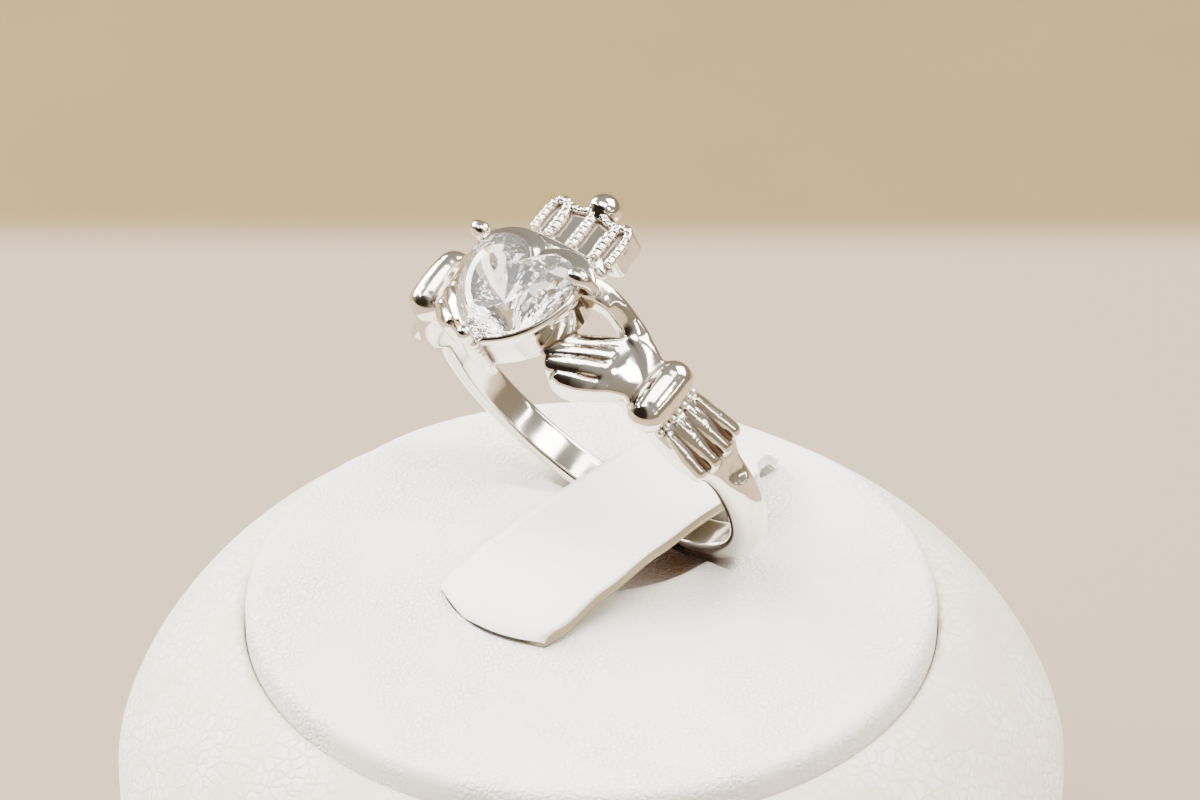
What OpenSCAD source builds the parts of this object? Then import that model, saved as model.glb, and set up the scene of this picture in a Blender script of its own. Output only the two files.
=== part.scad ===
// Claddagh ring standing in a round ring display, all lengths in millimetres.
// The ring has a frame of its own: X runs across the finger toward the right hand, Y runs along
// the finger toward the crown, Z runs out through the heart, and the origin is the hollow's centre.

/* [Finger and shank] */
// Diameter of the finger hollow
finger_d = 17.3; // [15.5:0.1:19.5]
// Width of the shank along the finger, at the bottom
band_w = 1.9; // [1.6:0.1:2.4]
// Radial thickness of the shank at the bottom
band_t = 1.35; // [1.1:0.05:1.7]

/* [Cuffs] */
// Width of the fluted cuff along the finger
cuff_w = 3.5; // [3:0.1:4.2]
// Radial thickness of the fluted cuff
cuff_t = 1.95; // [1.7:0.05:2.3]
// Angle from the heart to the middle of the fluted cuff
cuff_angle = 61; // [59:1:64]
// Length of the fluted cuff round the ring, as an angle
cuff_span = 19; // [16:1:20]
// Number of flutes on a cuff
flutes = 4; // [3:1:5]
// Radius of one flute
flute_r = 0.42; // [0.34:0.02:0.5]
// Angle from the heart to the rolled cuff edge
roll_angle = 45.5; // [44:0.5:46.5]
// Radius of the rolled cuff edge
roll_r = 0.98; // [0.86:0.02:1.1]
// Length of the rolled cuff edge along the finger
roll_l = 4.0; // [3.5:0.1:4.6]

/* [Hands] */
// Radius of a finger
finger_r = 0.45; // [0.38:0.01:0.52]
// Height of the backs of the hands over the finger hollow
hand_h = 2.2; // [2:0.05:2.5]
// Radius of a thumb at its tip
thumb_r = 0.42; // [0.36:0.02:0.5]

/* [Heart stone] */
// Width of the heart stone
stone_w = 6.3; // [5.6:0.1:6.8]
// Length of the heart stone from its tip to its lobes
stone_l = 5.7; // [5.2:0.1:6.2]
// Height of the stone above its girdle
stone_crown = 0.95; // [0.8:0.05:1.1]
// Depth of the stone below its girdle
stone_depth = 2.5; // [2:0.1:2.8]
// Thickness of the girdle
girdle_t = 0.2; // [0.14:0.02:0.3]
// Height of the girdle over the finger hollow
girdle_h = 3.65; // [3.5:0.05:4.1]

/* [Heart basket] */
// Thickness of the basket wall
basket_wall = 0.4; // [0.35:0.05:0.5]
// Height of the basket wall
basket_h = 1.9; // [1.6:0.1:2.2]
// Radius of a prong's ball
prong_r = 0.42; // [0.34:0.02:0.5]
// Width of the claw at the heart's tip
claw_w = 1.15; // [0.9:0.05:1.4]

/* [Crown] */
// Width of the crown
crown_w = 5.4; // [4.8:0.1:6]
// Length of the crown along the finger
crown_l = 2.7; // [2.3:0.1:3.1]
// Thickness of the crown plate
crown_t = 1.3; // [1.1:0.1:1.6]
// Height of the crown plate's face over the finger hollow
crown_h = 1.85; // [1.7:0.05:2.1]
// Radius of a bead on the crown
bead_r = 0.22; // [0.18:0.01:0.26]

/* [Stand] */
// Diameter of the base
base_d = 47.4; // [42:0.2:56]
// Height of the stand to the face of the disc
stand_h = 28; // [24:0.5:40]
// Diameter of the padded disc
disc_d = 34.2; // [32:0.2:38]
// Thickness of the padded disc
disc_t = 3.6; // [3.4:0.1:5]
// Height of the disc's rim over the base
disc_proud = 1.4; // [1:0.1:2]
// Height of the domed shoulder of the base
shoulder_h = 8; // [6:0.5:11]

/* [Clip] */
// Width of the leather clip
clip_w = 7.25; // [6.4:0.05:7.6]
// Length of the leather clip
clip_l = 20; // [18:0.5:21]
// Thickness of the leather
clip_t = 1.0; // [1:0.05:1.3]
// Distance of the clip's free end in front of the disc's centre
clip_front = 5.35; // [4.5:0.05:6.5]
// Sideways place of the clip on the disc
clip_x = -1.68; // [-2.5:0.01:0]

/* [Ring on the stand] */
// Lean of the ring toward the clip's free end
ring_lean = 28.5; // [24:0.5:32]
// Sideways place of the ring on the disc
ring_x = -2.65; // [-3.2:0.05:-2]
// Place of the ring along the clip
ring_y = 3.3; // [2.8:0.05:3.8]
// Depth of the ring's lowest point under the face of the disc
ring_sink = 2.1; // [1.9:0.05:2.2]
// Clearance between pieces
gap = 0.12; // [0.08:0.01:0.16]

/* [Hidden] */
finger_rad = finger_d / 2;
outer_rad = finger_rad + band_t;
girdle_z = finger_rad + girdle_h;
disc_r = disc_d / 2;
base_r = base_d / 2;
rise = outer_rad * cos(ring_lean) + band_w / 2 * sin(ring_lean) - ring_sink;
lobe_r = stone_w * 0.27;
lobe_x = stone_w / 2 - lobe_r;
tip_y = -0.61 * stone_l;
lobe_y = tip_y + stone_l - lobe_r;
lobe_end = -18;
side_belly = 0.13;
crown_y = tip_y + stone_l + crown_l / 2;
arch_r = basket_wall * 1.15;
seat_gap = gap / 2;
// Sizes that the tables of hands and setting are drawn for, as shares
hand_share = hand_h / 2.2;
set_share = girdle_h / 3.65;
edge_share = prong_r / 0.42;
shoulder_in = disc_r + disc_t * 0.14;
shoulder_top = stand_h - disc_proud;
facets = 12;
bead_facets = 8;

// Shank and cuffs, from the wrist to the bottom of the ring.
// angle from the heart, width share of the band, thickness share of the band, side roundness
WRIST = 33;
SHANK = [
    [WRIST, 1.50, 1.05, 0.5],
    [40, 1.35, 0.95, 0.5],
    [roll_angle, 1.30, 0.95, 0.5],
    [cuff_angle - cuff_span / 2, cuff_w / band_w * 0.86, cuff_t / band_t * 0.82, 0.35],
    [cuff_angle, cuff_w / band_w * 0.96, cuff_t / band_t * 0.95, 0.3],
    [cuff_angle + cuff_span * 0.38, cuff_w / band_w * 0.92, cuff_t / band_t * 0.84, 0.3],
    [cuff_angle + cuff_span * 0.62, 1.20, 1.16, 0.3],
    [cuff_angle + cuff_span * 0.75, 1.02, 1.30, 0.3],
    [100, 1.00, 1.22, 0.35],
    [125, 1.00, 1.04, 0.4],
    [180, 1.00, 1.00, 0.4]
];

// Leather clip, from its free end to its root in the disc.
// share of the length, half width share, thickness share, height share of the rise, curl share
CLIP = [
    [0.00, 0.93, 0.62, 0.00, 0.05],
    [0.06, 0.99, 0.72, 0.00, 0.10],
    [0.20, 1.00, 0.95, 0.12, 0.45],
    [0.40, 1.00, 1.00, 0.60, 0.80],
    [0.58, 1.00, 1.00, 1.00, 1.00],
    [0.74, 0.98, 1.00, 1.00, 1.00],
    [0.86, 0.80, 1.00, 0.30, 0.60],
    [0.94, 0.66, 1.00, -3.20, 0.20],
    [1.00, 0.62, 1.00, -8.50, 0.00]
];

// Rest of the hand, as balls: angle from the heart, radius share, place along the finger, size share
PALM = [
    [39, 0.50, -0.55, 0.70],
    [39, 0.50, 0.75, 0.75],
    [31, 0.70, -1.10, 0.80],
    [29.5, 0.76, 0.30, 0.80]
];
// Fingers: knuckle angle, knuckle place, tip angle, tip place, tip height share, size share
FINGERS = [
    [27.0, 0.62, 11.8, -1.12, 1.00, 0.90],
    [27.6, -0.16, 13.9, -1.68, 1.00, 1.00],
    [29.4, -0.94, 17.4, -2.20, 0.98, 1.10],
    [31.6, -1.56, 21.8, -2.50, 0.90, 0.88]
];
// Claw at the heart's tip: depth under the girdle, place past the tip, width share
CLAW = [
    [0.30, -0.16, 0.80],
    [1.30, -0.16, 1.08],
    [2.20, -0.08, 0.95],
    [2.95, 0.10, 0.50]
];
// Arch over the lobes: shares of the stone's width and length, depth under the girdle
ARCH = [
    [-0.51, 0.88, 1.05],
    [-0.42, 1.02, 0.92],
    [-0.22, 1.10, 0.88],
    [0.22, 1.10, 0.88],
    [0.42, 1.02, 0.92],
    [0.51, 0.88, 1.05]
];
// Thumb: angle, radius share, place along the finger, size share
THUMB = [
    [38, 0.50, 0.95, 1.60],
    [31.5, 0.85, 1.45, 1.50],
    [25.5, 1.15, 1.82, 1.25],
    [19.5, 1.45, 1.86, 1.10]
];

// Outline of the crown plate, base edge toward the heart, in shares of its width and length
CROWN = [[-0.43, 0], [-0.5, 0.45], [-0.49, 0.78], [-0.37, 0.93], [-0.24, 0.86], [-0.13, 0.9], [-0.1, 1.02]];
// Beaded lines of the crown: foot share, head share, number of beads
BEADS = [
    [[-0.44, 0.08], [-0.45, 0.78], 6],
    [[-0.26, 0.08], [-0.30, 0.72], 6],
    [[-0.45, 0.78], [-0.30, 0.76], 2],
    [[0, 0.06], [0, 0.70], 5],
    [[0.26, 0.08], [0.30, 0.72], 6],
    [[0.44, 0.08], [0.45, 0.78], 6],
    [[0.45, 0.78], [0.30, 0.76], 2]
];

// A point at an angle from the heart, at a radius, at a place along the finger
function polar(a, r, y) = [r * sin(a), y, r * cos(a)];
function mix(a, b, t) = a + (b - a) * t;
function ease(t) = t * t * (3 - 2 * t);
function row(table, s, i = 0) = i >= len(table) - 2 || s < table[i + 1][0] ? i : row(table, s, i + 1);
// Value of one column of a table at a place, eased between its rows
function at(table, s, column) =
    let (i = row(table, s), t = (s - table[i][0]) / (table[i + 1][0] - table[i][0]))
    mix(table[i][column], table[i + 1][column], ease(min(max(t, 0), 1)));

// Triangles that close a section of n points, as a strip from its first pair of points to its last
function cap(n) = concat(
    [for (i = [0:floor((n - 1) / 2) - 1]) [i, i + 1, n - 1 - i]],
    [for (i = [0:floor((n - 1) / 2) - 1]) if (i + 1 != n - 2 - i) [i + 1, n - 2 - i, n - 1 - i]]
);

// Solid skin over a list of closed sections with equal numbers of points
module loft(sections) {
    n = len(sections[0]);
    m = len(sections);
    polyhedron(
        points = [for (s = sections) each s],
        faces = concat(
            [for (f = cap(n)) f],
            [for (k = [0:m - 2], i = [0:n - 1]) [k * n + i, (k + 1) * n + i, (k + 1) * n + (i + 1) % n]],
            [for (k = [0:m - 2], i = [0:n - 1]) [k * n + i, (k + 1) * n + (i + 1) % n, k * n + (i + 1) % n]],
            [for (f = cap(n)) [for (j = [2:-1:0]) (m - 1) * n + f[j]]]
        )
    );
}

// Rounded bar through balls, each given as its centre and its radius
module chain(balls, $fn = facets) {
    for (i = [0:len(balls) - 2]) hull() {
        translate(balls[i][0]) sphere(balls[i][1]);
        translate(balls[i + 1][0]) sphere(balls[i + 1][1]);
    }
}

// Section of the shank: flat inside, domed outside
function shank_section(a) =
    let (
        h = min(a, 360 - a),
        w = band_w * at(SHANK, h, 1) / 2,
        t = band_t * at(SHANK, h, 2),
        k = at(SHANK, h, 3)
    )
    concat(
        [polar(a, finger_rad, -w + band_t * 0.09), polar(a, finger_rad + band_t * 0.09, -w)],
        [for (q = [0:6]) let (b = 180 - q * 30) polar(a, finger_rad + t * (1 - k + k * sin(b)), w * cos(b))],
        [polar(a, finger_rad + band_t * 0.09, w), polar(a, finger_rad, w - band_t * 0.09)]
    );
// Radius of the shank's outside at an angle and at a place along the finger
function shank_top(a, y) =
    let (k = at(SHANK, a, 3), c = min(abs(y) / (band_w * at(SHANK, a, 1) / 2), 1))
    finger_rad + band_t * at(SHANK, a, 2) * (1 - k + k * sqrt(1 - c * c));

module shank() {
    steps = 44;
    loft([for (i = [0:steps]) shank_section(mix(360 - WRIST, WRIST, i / steps))]);
}

module cuff() {
    first = cuff_angle - cuff_span / 2 + 2.2;
    last = cuff_angle + cuff_span / 2 - 2.6;
    pitch = cuff_w * 0.78 / flutes;
    for (f = [0:flutes - 1]) {
        y = (f - (flutes - 1) / 2) * pitch;
        fall = cuff_t * 0.05 * pow(y / pitch, 2);
        chain([for (s = [0:3])
            let (a = mix(first, last, s / 3), swell = 1 - pow(abs(s / 3 - 0.45), 2) * 1.1)
            [polar(a, finger_rad + cuff_t * (0.333 + 0.667 * swell) - flute_r - fall, y * (0.8 + 0.25 * swell)),
                flute_r * (0.72 + 0.28 * swell)]], $fn = 8);
    }
    // Milled line, seated in the crease where the shank meets the roll
    for (f = [0:6]) let (
        y = (f - 3) * cuff_w * 0.118,
        seat = shank_top(roll_angle + asin(roll_r / (finger_rad + cuff_t * 0.82)), y),
        reach = roll_r * (1 - 0.16 * abs(y) / roll_l))
        translate(polar(roll_angle + asin(reach / seat), seat - cuff_t * 0.03, y)) sphere(cuff_w * 0.058, $fn = 6);
}

module roll() {
    r = finger_rad + cuff_t * 1.02 - roll_r * 0.48;
    half = roll_l / 2 - roll_r * 0.8;
    hull() {
        for (y = [-half, half]) translate(polar(roll_angle, r, y)) sphere(roll_r * 0.92, $fn = 16);
        translate(polar(roll_angle, r + roll_r * 0.06, 0)) sphere(roll_r, $fn = 16);
    }
}

module hand() {
    top = finger_rad + hand_h;
    hull() for (p = PALM)
        translate(polar(p[0], finger_rad + hand_h * p[1], p[2] * hand_share)) sphere(p[3] * hand_share, $fn = facets);
    for (f = FINGERS) let (r = finger_r * f[5]) chain([
        [polar(f[0], top - r, f[1] * hand_share), r],
        [polar(mix(f[0], f[2], 0.5), top - r * 0.9, mix(f[1], f[3], 0.5) * hand_share), r],
        [polar(f[2], finger_rad + hand_h * f[4] - r, f[3] * hand_share), r * 0.86]
    ]);
    // Flesh under the fingers, down to the hollow
    hull() for (p = [[31, 0.23, -1.3, 0.55], [30, 0.23, 0.4, 0.55],
        [FINGERS[0][2] + 2, 0.455, FINGERS[0][3], 0.4], [FINGERS[3][2] + 2, 0.32, FINGERS[3][3], 0.4]])
        translate(polar(p[0], finger_rad + hand_h * p[1], p[2] * hand_share)) sphere(p[3] * hand_share, $fn = facets);
    chain(concat(
        [for (p = THUMB) [polar(p[0], finger_rad + hand_h * p[1], p[2] * hand_share), thumb_r * p[3]]],
        [[prong_at(1) - edge_share * [-0.15, -0.05, 0.77], thumb_r]],
        [[prong_at(1), prong_r]]
    ));
}

// Half of the heart's outline, from the cleft round the lobe to the tip
function heart_half(n) =
    let (
        cleft = acos(-lobe_x / lobe_r),
        a = [lobe_x + lobe_r * cos(lobe_end), lobe_y + lobe_r * sin(lobe_end)],
        b = [0, tip_y],
        d = b - a,
        out = [-d[1], d[0]]
    )
    concat(
        [for (i = [0:n]) let (q = mix(cleft, lobe_end, i / n)) [lobe_x + lobe_r * cos(q), lobe_y + lobe_r * sin(q)]],
        [for (i = [1:n]) let (t = i / n) a + d * t + out * side_belly * 4 * t * (1 - t)]
    );
function heart(n) =
    let (half = heart_half(n))
    concat(half, [for (i = [len(half) - 2:-1:1]) [-half[i][0], half[i][1]]]);

// Centre of a prong's ball: side 1 and -1 are the lobes, 0 is the tip
function prong_at(side) =
    side == 0
    ? [0, tip_y - prong_r * 0.6, girdle_z + girdle_t / 2 + prong_r]
    : [side * (lobe_x + (lobe_r + prong_r * 0.48) * cos(30)), lobe_y + (lobe_r + prong_r * 0.48) * sin(30),
        girdle_z + girdle_t / 2 + prong_r];

module basket() {
    seat = girdle_z - girdle_t / 2 - basket_wall * 0.75;
    translate([0, 0, seat - basket_h]) linear_extrude(basket_h) difference() {
        offset(r = basket_wall * 0.3, $fn = 16) polygon(heart(8));
        offset(r = -basket_wall * 0.7, $fn = 16) polygon(heart(8));
    }
    // Claw at the tip, from the ball down to the hollow
    chain([
        [prong_at(0), prong_r],
        [[0, tip_y - prong_r * 0.33, girdle_z - prong_r * 0.83], prong_r * 0.9]
    ]);
    for (i = [0:len(CLAW) - 2]) hull() for (s = [CLAW[i], CLAW[i + 1]])
        translate([0, tip_y + s[1] * edge_share, girdle_z - s[0] * set_share])
            scale([claw_w / 2 * s[2], prong_r * 0.85, prong_r]) sphere(1, $fn = facets);
}

// Outline of the crown plate, base edge toward the heart
function crown_outline() = concat(
    [for (p = CROWN) [p[0] * crown_w, crown_y + p[1] * crown_l]],
    [for (i = [len(CROWN) - 1:-1:0]) [-CROWN[i][0] * crown_w, crown_y + CROWN[i][1] * crown_l]]
);
module crown() {
    face = finger_rad + crown_h;
    translate([0, 0, face - crown_t]) linear_extrude(crown_t) polygon(crown_outline());
    for (line = BEADS, i = [0:line[2] - 1]) {
        p = mix(line[0], line[1], i / (line[2] - 1));
        translate([p[0] * crown_w, crown_y + p[1] * crown_l, face + bead_r * 0.3]) sphere(bead_r, $fn = bead_facets);
    }
    // Ball on the middle point
    translate([0, crown_y + crown_l * 0.98, face + bead_r * 0.23]) sphere(bead_r * 2.4, $fn = facets);
    // Foot rail of the crown and the arch that carries it on the heart
    chain([
        [[-crown_w * 0.43, crown_y, face - crown_t * 0.08], crown_t * 0.23],
        [[crown_w * 0.43, crown_y, face - crown_t * 0.08], crown_t * 0.23]
    ]);
    chain([
        for (p = ARCH) [[p[0] * stone_w, tip_y + stone_l * p[1], girdle_z - p[2] * set_share], arch_r]
    ]);
    hull() {
        translate([-crown_w * 0.42, crown_y - crown_l * 0.04, face - crown_t * 0.6])
            cube([crown_w * 0.84, crown_l * 0.11, crown_t * 0.5]);
        translate([-crown_w * 0.34, crown_y - crown_l * 0.3, face - crown_t * 0.4])
            cube([crown_w * 0.68, crown_l * 0.11, girdle_z - face - arch_r * 1.2]);
    }
}

// Heart with its facets: table, stars, girdle, pavilion mains and culet, grown on all sides by a margin
module stone_body(grow) {
    n = 6;
    rim = heart(n);
    count = len(rim);
    half = count / 2;
    mid = [0, mix(tip_y, lobe_y, 0.62)];
    spread = 1 + 2 * grow / stone_w;
    bevel = girdle_t / 2;
    function level(share, z, step, shift) = [for (i = [0:count / step - 1])
        let (p = mid + (rim[i * step + shift] - mid) * share * spread) [p[0], p[1], girdle_z + z]];
    table = level(0.56, stone_crown + grow, 2, 0);
    stars = level(0.78, bevel + (stone_crown - bevel) * 0.58 + grow, 2, 1);
    top = level(1, bevel + grow / 2, 1, 0);
    low = level(1, -bevel - grow / 2, 1, 0);
    mains = level(0.46, -stone_depth * 0.60 - grow, 2, 0);
    culet = [[mid[0], mid[1], girdle_z - stone_depth - grow]];
    s0 = half;
    g0 = count;
    l0 = count * 2;
    m0 = count * 3;
    c0 = m0 + half;
    polyhedron(
        points = concat(table, stars, top, low, mains, culet),
        faces = concat(
            [[for (j = [0:half - 1]) j]],
            [for (j = [0:half - 1]) [j, s0 + j, (j + 1) % half]],
            [for (j = [0:half - 1]) [j, g0 + 2 * j, s0 + j]],
            [for (j = [0:half - 1]) [(j + 1) % half, s0 + j, g0 + (2 * j + 2) % count]],
            [for (j = [0:half - 1]) [s0 + j, g0 + 2 * j, g0 + 2 * j + 1]],
            [for (j = [0:half - 1]) [s0 + j, g0 + 2 * j + 1, g0 + (2 * j + 2) % count]],
            [for (i = [0:count - 1]) [g0 + i, l0 + i, g0 + (i + 1) % count]],
            [for (i = [0:count - 1]) [g0 + (i + 1) % count, l0 + i, l0 + (i + 1) % count]],
            [for (j = [0:half - 1]) [l0 + 2 * j, m0 + j, l0 + 2 * j + 1]],
            [for (j = [0:half - 1]) [l0 + 2 * j + 1, m0 + j, m0 + (j + 1) % half]],
            [for (j = [0:half - 1]) [l0 + 2 * j + 1, m0 + (j + 1) % half, l0 + (2 * j + 2) % count]],
            [for (j = [0:half - 1]) [m0 + j, c0, m0 + (j + 1) % half]]
        )
    );
}

module ring_local() {
    difference() {
        union() {
            shank();
            for (side = [0, 1]) mirror([side, 0, 0]) {
                cuff();
                roll();
                hand();
            }
            basket();
            crown();
        }
        rotate([90, 0, 0]) cylinder(r = finger_rad, h = finger_d * 2, center = true, $fn = 96);
        stone_body(seat_gap);
    }
}

module on_stand() {
    translate([ring_x, ring_y, stand_h + rise]) rotate([ring_lean, 0, 0]) children();
}

module ring() {
    color("silver") on_stand() ring_local();
}

module heart_stone() {
    color("white") on_stand() stone_body(0);
}

// Shoulder of the base: a soft quarter curve from the disc out to the side
function shoulder(n) = [for (i = [0:n]) let (b = i * 90 / n)
    [mix(shoulder_in, base_r, pow(sin(b), 1.45)), shoulder_top - shoulder_h + shoulder_h * pow(cos(b), 1.45)]];

module stand_base() {
    well_r = disc_r + gap;
    color("white") rotate_extrude($fn = 180) polygon(concat(
        [[0, 0], [base_r - disc_t / 6, 0], [base_r, disc_t / 6]],
        [for (i = [14:-1:0]) shoulder(14)[i]],
        [[well_r, shoulder_top], [well_r, stand_h - disc_t - gap], [0, stand_h - disc_t - gap]]
    ));
}

module stand_top() {
    edge = disc_t * 0.195;
    color("white") difference() {
        rotate_extrude($fn = 180) polygon(concat(
            [[0, stand_h - disc_t], [disc_r - edge * 0.4, stand_h - disc_t], [disc_r, stand_h - disc_t + edge * 0.4]],
            [for (i = [0:5]) let (b = i * 18) [disc_r - edge + edge * cos(b), stand_h - edge + edge * sin(b)]],
            [[0, stand_h]]
        ));
        slot();
    }
}

// Everything that the disc is cut away for: the ring's channel, the gap under the clip, the clip's root
module slot() {
    deep = ring_sink + 2 * gap;
    bottom_y = ring_y + finger_rad * sin(ring_lean);
    on_stand() rotate([90, 0, 0]) difference() {
        cylinder(r = outer_rad + 2 * gap, h = band_w + 4 * gap, center = true, $fn = 120);
        cylinder(r = finger_rad - gap, h = band_w + 10 * gap, center = true, $fn = 120);
    }
    translate([clip_x - clip_w * 0.53, bottom_y - clip_l * 0.32, stand_h - deep])
        cube([clip_w * 1.07, clip_l * 0.445, deep * 2]);
    translate([clip_x - clip_w * 0.4, clip_l * 0.87 - clip_front, stand_h - deep])
        cube([clip_w * 0.8, clip_l * 0.17, deep * 2]);
}

// Height of the clip's underside over the disc at a place across it, where the ring lifts it fully
function lift(x) =
    rise + band_w / 2 * sin(ring_lean) + gap
    - cos(ring_lean) * sqrt(finger_rad * finger_rad - (x - ring_x) * (x - ring_x));
function clip_under(s, x) =
    let (flat = lift(ring_x) * at(CLIP, s, 3), curl = (lift(x) - lift(ring_x)) * at(CLIP, s, 4))
    gap / 4 + flat + curl;
function clip_section(s) =
    let (
        n = 8,
        w = clip_w / 2 * at(CLIP, s, 1),
        t = clip_t * at(CLIP, s, 2),
        bow = clip_w * 0.138 * pow(1 - min(s / 0.2, 1), 2)
    )
    concat(
        [for (i = [0:n]) let (q = -1 + 2 * i / n, x = clip_x + w * q)
            [x, s * clip_l - clip_front - bow * (1 - q * q), stand_h + clip_under(s, x)]],
        [for (i = [n:-1:0]) let (q = -1 + 2 * i / n, x = clip_x + w * q)
            [x, s * clip_l - clip_front - bow * (1 - q * q), stand_h + clip_under(s, x) + t]]
    );

module ring_clip() {
    steps = 26;
    color("whitesmoke") loft([for (i = [0:steps]) clip_section(i / steps)]);
}

stand_base();
stand_top();
ring_clip();
ring();
heart_stone();
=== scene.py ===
"""Looks of a claddagh ring clipped on its ring display stand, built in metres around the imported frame.

The ring has a frame of its own, in millimetres: X runs across the finger, Y along the finger toward
the crown, Z out through the heart, and the origin is the middle of the finger hollow. An angle is
counted from the heart, 0, to the bottom of the shank, 180.
"""

import math
from functools import reduce
from itertools import product
from types import SimpleNamespace

import bpy
import mathutils
import numpy as np
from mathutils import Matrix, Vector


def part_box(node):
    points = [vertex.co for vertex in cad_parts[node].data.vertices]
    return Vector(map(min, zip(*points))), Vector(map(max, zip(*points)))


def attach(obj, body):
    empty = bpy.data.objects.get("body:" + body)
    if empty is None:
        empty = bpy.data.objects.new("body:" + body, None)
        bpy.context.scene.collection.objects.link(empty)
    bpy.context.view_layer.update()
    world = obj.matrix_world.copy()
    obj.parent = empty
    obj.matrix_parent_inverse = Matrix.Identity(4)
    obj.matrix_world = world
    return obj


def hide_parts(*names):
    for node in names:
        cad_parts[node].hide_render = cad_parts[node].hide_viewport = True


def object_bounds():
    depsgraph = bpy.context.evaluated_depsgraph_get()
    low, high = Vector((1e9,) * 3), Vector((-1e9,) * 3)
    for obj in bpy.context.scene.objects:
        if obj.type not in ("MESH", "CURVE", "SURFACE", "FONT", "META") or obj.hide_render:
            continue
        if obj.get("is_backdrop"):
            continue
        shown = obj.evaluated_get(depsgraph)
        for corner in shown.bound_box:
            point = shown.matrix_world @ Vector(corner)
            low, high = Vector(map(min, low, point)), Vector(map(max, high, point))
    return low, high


bl_info = {
    "name": "Claddagh ring on a ring stand",
    "version": (1, 0, 0),
    "blender": (4, 5, 0),
    "location": "View3D > Sidebar > Ring",
    "description": "Builds a cast silver claddagh ring with a heart stone on a leatherette ring stand",
    "category": "Add Mesh",
}

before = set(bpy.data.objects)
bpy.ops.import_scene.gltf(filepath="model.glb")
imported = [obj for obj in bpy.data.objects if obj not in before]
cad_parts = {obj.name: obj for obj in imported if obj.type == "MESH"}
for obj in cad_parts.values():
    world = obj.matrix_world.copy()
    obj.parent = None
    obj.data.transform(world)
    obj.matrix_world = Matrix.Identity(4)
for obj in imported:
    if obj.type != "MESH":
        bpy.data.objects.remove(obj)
CAD_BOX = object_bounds()
MM = 0.001
STAND_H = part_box("stand_top")[1][2] / MM
DISC_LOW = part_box("stand_top")[0][2] / MM
BASE_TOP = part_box("stand_base")[1][2] / MM


# ---- Shapes drawn as distances on a grid ----

def near_min(a, b, blend):
    """Smaller of two distances, rounded over a width where they meet."""
    h = np.clip(0.5 + 0.5 * (b - a) / blend, 0, 1)
    return b + (a - b) * h - blend * h * (1 - h)


AXES = np.eye(3, dtype=int)


def least(distances):
    """Smallest of several distances at each point."""
    return reduce(np.minimum, distances)


def smoothstep(share):
    """Share of a way, kept from 0 to 1, with a soft start and a soft end."""
    share = np.clip(share, 0, 1)
    return share * share * (3 - 2 * share)


def round_corner(q, r, edge):
    """Distance to a rounded corner between two faces, each distance taken from the middle of the rounding."""
    return np.hypot(np.maximum(q, 0), np.maximum(r, 0)) + np.minimum(np.maximum(q, r), 0) - edge


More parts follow.
